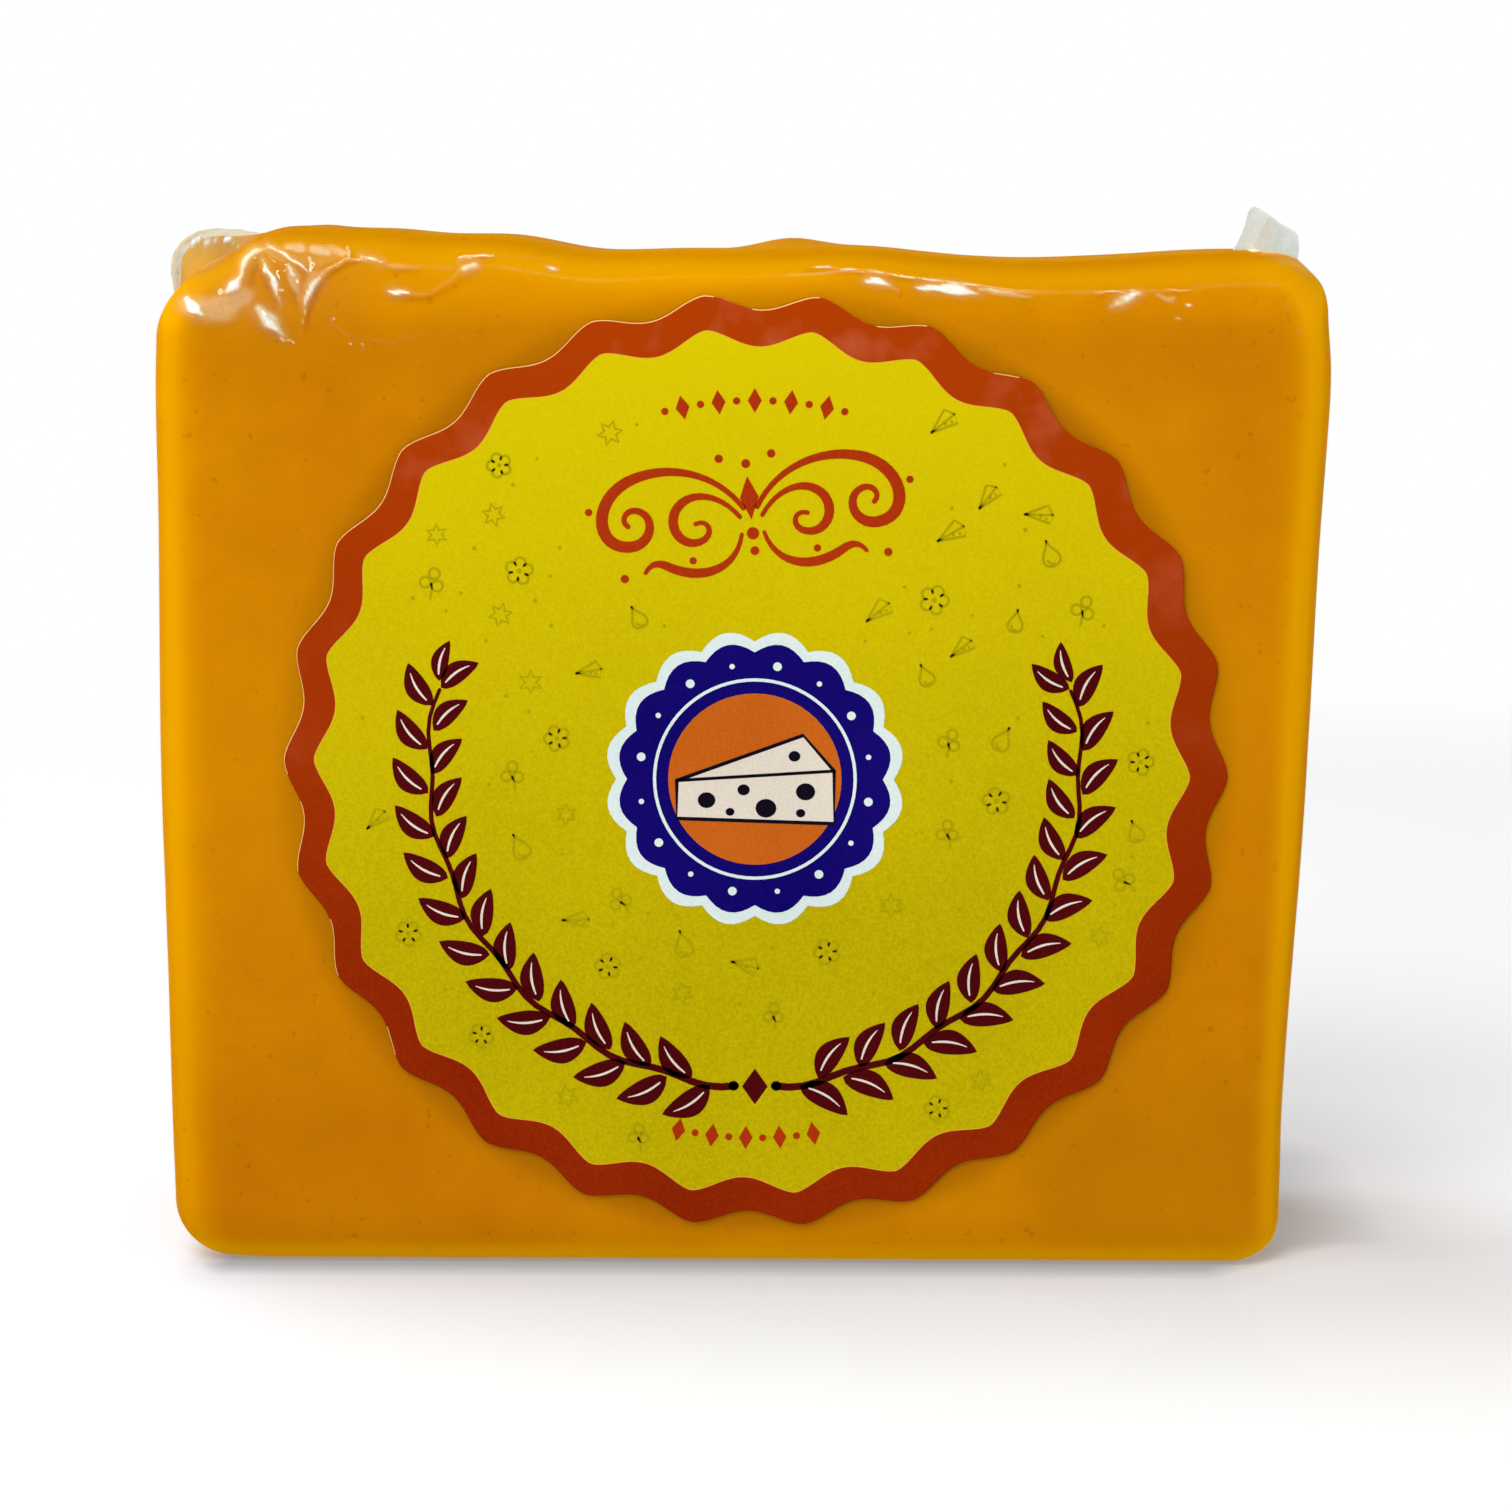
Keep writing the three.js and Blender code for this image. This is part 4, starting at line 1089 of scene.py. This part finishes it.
for side in (-1, 1):
    stem = [polar(26.3 + 0.25 * math.sin(k * 0.9), 270 + side * a) for k, a in enumerate(np.linspace(3.5, 104, 40))]
    maroon.stroke(stem, np.linspace(0.62, 0.30, 40))
    for k in range(13):
        a = 270 + side * (8 + 7.75 * k)
        tangent = a + side * 90
        size = 1.0 - 0.012 * k
        # one leaf outward and one inward at each joint, a little staggered
        leaf(polar(26.5, a), tangent - side * 40, 4.6 * size, 2.15 * size, True)
        a2 = a + side * 3.4
        leaf(polar(26.1, a2), a2 + side * 90 + side * 42, 4.3 * size, 2.0 * size, True)
    leaf(polar(26.4, 270 + side * 105.5), 270 + side * 105.5 + side * 90, 3.4, 1.4, True)
maroon.polygon(turned([(0, 1.5), (1.05, 0), (0, -1.5), (-1.05, 0)], 0, polar(26.3, 270)))
for s in (-1, 1):
    maroon.disc(s * 1.75, -26.25, 0.42)

# a scroll under the top edge: two mirrored curls, tilted a little
centre_scroll, tilt = (-0.35, 21.0), 6.0
for m in (False, True):
    curl = chain(
        bezier((0.55, 0.1), (2.6, 3.4), (6.6, 4.3), (9.6, 3.1), 18),
        bezier((9.6, 3.1), (12.6, 1.8), (12.7, -1.9), (10.0, -2.1), 14),
        bezier((10.0, -2.1), (8.0, -2.2), (7.5, 0.3), (9.1, 0.75), 12),
        bezier((9.1, 0.75), (10.0, 0.95), (10.5, 0.0), (9.9, -0.45), 8),
    )
    k = np.linspace(0, 1, len(curl))
    red.stroke(turned(curl, tilt, centre_scroll, m), 0.42 + 0.55 * np.sin(np.pi * k) ** 2)
    inner_curl = chain(
        bezier((0.9, -0.6), (2.4, 1.6), (4.9, 2.0), (6.0, 0.4), 14),
        bezier((6.0, 0.4), (6.9, -1.2), (5.4, -2.9), (3.9, -2.1), 12),
        bezier((3.9, -2.1), (3.0, -1.5), (3.6, -0.4), (4.5, -0.8), 8),
    )
    k = np.linspace(0, 1, len(inner_curl))
    red.stroke(turned(inner_curl, tilt, centre_scroll, m), 0.36 + 0.42 * np.sin(np.pi * k) ** 2)
    tail = chain(bezier((0.9, -2.0), (1.6, -4.9), (4.6, -5.4), (7.0, -4.0), 14), bezier((7.0, -4.0), (7.9, -3.4), (8.5, -3.7), (8.9, -4.3), 8))
    k = np.linspace(0, 1, len(tail))
    red.stroke(turned(tail, tilt, centre_scroll, m), 0.32 + 0.45 * np.sin(np.pi * k) ** 1.5)
    for dx, dz, r in ((10.6, -4.6, 0.34), (5.0, -3.7, 0.30), (2.1, 4.2, 0.34), (12.9, 1.0, 0.30)):
        q = turned([(dx, dz)], tilt, centre_scroll, m)[0]
        red.disc(q[0], q[1], r)
red.polygon(turned([(0, 2.6), (0.75, 0.9), (0, -0.9), (-0.75, 0.9)], tilt, centre_scroll))
for dz, r in ((-2.0, 0.5), (-3.4, 0.36), (3.6, 0.36)):
    q = turned([(0, dz)], tilt, centre_scroll)[0]
    red.disc(q[0], q[1], r)

# rows of small diamonds and dots, over the scroll and under the boughs
for start, step, count, r, big in ((104.0, -2.8, 11, 29.6, 0), (258.2, 2.6, 9, 30.6, 1)):
    for k in range(count):
        a = start + step * k
        at = polar(r, a)
        if k % 2 == big:
            red.disc(at[0], at[1], 0.30, 10)
        else:
            red.polygon(turned([(0, 0.98), (0.56, 0), (0, -0.98), (-0.56, 0)], a - 90, at))

# small faint drawings scattered over the field
FAINT = 0.20


def flower(at, turn, s):
    for k in range(5):
        a = turn + 72 * k
        c = (at[0] + 0.72 * s * math.cos(math.radians(a)), at[1] + 0.72 * s * math.sin(math.radians(a)))
        arc = [(c[0] + 0.46 * s * math.cos(math.radians(a + b)), c[1] + 0.46 * s * math.sin(math.radians(a + b))) for b in np.linspace(-125, 125, 11)]
        olive.stroke(arc, FAINT)
    olive.disc(at[0], at[1], 0.22 * s, 8)


def slice_of(at, turn, s):
    olive.stroke(turned([(-1.2 * s, -0.7 * s), (1.2 * s, -0.7 * s), (1.2 * s, 0.1 * s), (-1.2 * s, -0.7 * s)], turn, at), FAINT, closed=True)
    olive.stroke(turned([(1.2 * s, 0.1 * s), (0.5 * s, 0.75 * s), (-1.2 * s, -0.7 * s)], turn, at), FAINT)
    for dx in (0.2, 0.75):
        q = turned([(dx * s, -0.42 * s)], turn, at)[0]
        olive.disc(q[0], q[1], 0.13 * s, 8)


def drop(at, turn, s):
    body = chain(bezier((0, 1.25 * s), (0.15 * s, 0.5 * s), (0.78 * s, 0.2 * s), (0.72 * s, -0.38 * s), 8),
                 bezier((0.72 * s, -0.38 * s), (0.66 * s, -1.1 * s), (-0.66 * s, -1.1 * s), (-0.72 * s, -0.38 * s), 10),
                 bezier((-0.72 * s, -0.38 * s), (-0.78 * s, 0.2 * s), (-0.15 * s, 0.5 * s), (0, 1.25 * s), 8))
    olive.stroke(turned(body, turn, at), FAINT)
    olive.stroke(turned(bezier((-0.35 * s, -0.35 * s), (-0.3 * s, -0.7 * s), (0, -0.75 * s), (0.15 * s, -0.7 * s), 6), turn, at), FAINT * 0.8)


def clover(at, turn, s):
    for k in range(3):
        a = turn + 90 + 120 * k
        c = (at[0] + 0.62 * s * math.cos(math.radians(a)), at[1] + 0.62 * s * math.sin(math.radians(a)))
        olive.stroke([(c[0] + 0.46 * s * math.cos(b), c[1] + 0.46 * s * math.sin(b)) for b in np.arange(12) * 2 * np.pi / 12], FAINT, closed=True)
    q = turned([(0, -0.3 * s), (0.3 * s, -1.5 * s)], turn, at)
    olive.stroke([q[0], (q[0] + q[1]) / 2 + 0.05, q[1]], FAINT)


def star(at, turn, s):
    pts = []
    for k in range(12):
        r = (1.05 if k % 2 == 0 else 0.5) * s
        pts.append((at[0] + r * math.cos(math.radians(turn + 30 * k)), at[1] + r * math.sin(math.radians(turn + 30 * k))))
    olive.stroke(pts, FAINT, closed=True)


DRAWINGS = [flower, slice_of, drop, clover, star]


def taken(x, z):
    r, a = math.hypot(x, z), math.degrees(math.atan2(z, x)) % 360
    if r < 13.6 or r > 32.0:
        return True
    if (a > 160 or a < 20) and 21.6 < r < 31.0:  # the boughs
        return True
    qx, qz = turned([(x - centre_scroll[0], z - centre_scroll[1])], -tilt)[0]
    if abs(qx) < 15.0 and -6.6 < qz < 6.2:  # the scroll
        return True
    if r > 28.2 and (72 < a < 108 or 254 < a < 284):  # the rows of diamonds
        return True
    return False


scatter = np.random.default_rng(77)
placed = []
for radius, count in ((15.8, 15), (19.6, 19), (24.5, 24), (29.4, 28), (31.4, 31)):
    for k in range(count):
        a = 360 / count * (k + 0.31 * (radius % 3)) + scatter.uniform(-4, 4)
        x, z = polar(radius + scatter.uniform(-0.7, 0.7), a)
        if taken(x, z) or any(math.hypot(x - u, z - w) < 3.6 for u, w in placed):
            continue
        placed.append((x, z))
        DRAWINGS[(len(placed) * 3 + k) % 5]((x, z), scatter.uniform(-40, 40), scatter.uniform(0.82, 1.0))
for k in range(420):
    x, z = polar(33.4 * math.sqrt(scatter.uniform(0.15, 1)), scatter.uniform(0, 360))
    if math.hypot(x, z) < 13.2 or any(math.hypot(x - u, z - w) < 1.7 for u, w in placed):
        continue
    placed.append((x, z))
    if not taken(x, z) and len(placed) < 190:
        olive.disc(x, z, scatter.uniform(0.12, 0.19), 7)

# the round emblem in the middle: a wedge of cheese on a lobed plate


def lobed(r, depth, lobes, turn=0.0, n=8):
    out = []
    for k in range(lobes * n):
        a = 2 * math.pi * k / (lobes * n)
        out.append(((r + depth * abs(math.cos(lobes * a / 2)) - depth * 0.6) * math.cos(a + turn), (r + depth * abs(math.cos(lobes * a / 2)) - depth * 0.6) * math.sin(a + turn)))
    return out


def moved(pts, at=(0.0, -0.9)):
    return [(x + at[0], z + at[1]) for x, z in pts]


white.polygon(moved(lobed(11.75, 0.9, 16, math.pi / 16)))
navy.polygon(moved(lobed(10.8, 0.8, 16, math.pi / 16)))
ring.stroke(moved([(8.1 * math.cos(a), 8.1 * math.sin(a)) for a in np.arange(72) * 2 * math.pi / 72]), 0.26, closed=True)
for k in range(16):
    a = 2 * math.pi * (k + 0.5) / 16
    ring.disc(9.35 * math.cos(a), 9.35 * math.sin(a) - 0.9, 0.36 if k % 2 else 0.22, 12)
orange.disc(0, -0.9, 7.0, 56)
cream.polygon(moved([(-6.3, -0.1), (3.9, 3.6), (6.4, 0.7)]))
cream.polygon(moved([(-6.3, -0.1), (6.4, 0.7), (6.4, -3.6), (-6.3, -3.2)]))
black.stroke(moved([(-6.3, -0.1), (3.9, 3.6), (6.4, 0.7), (6.4, -3.6), (-6.3, -3.2), (-6.3, -0.1)]), 0.30)
black.stroke(moved([(-6.3, -0.1), (6.4, 0.7)]), 0.26)
for x, z, r in ((-3.9, -1.7, 0.72), (-0.9, -0.85, 0.5), (0.9, -2.35, 0.85), (4.1, -1.0, 0.78), (3.7, -2.75, 0.38), (-2.0, -2.65, 0.36), (3.2, 1.9, 0.48)):
    orange_hole = [(x + r * math.cos(a), z + r * math.sin(a) * 0.9) for a in np.arange(16) * 2 * math.pi / 16]
    black.polygon(moved(orange_hole))
for ink in (maroon, cream_line, red, olive, white, navy, ring, orange, cream, black):
    ink.make()
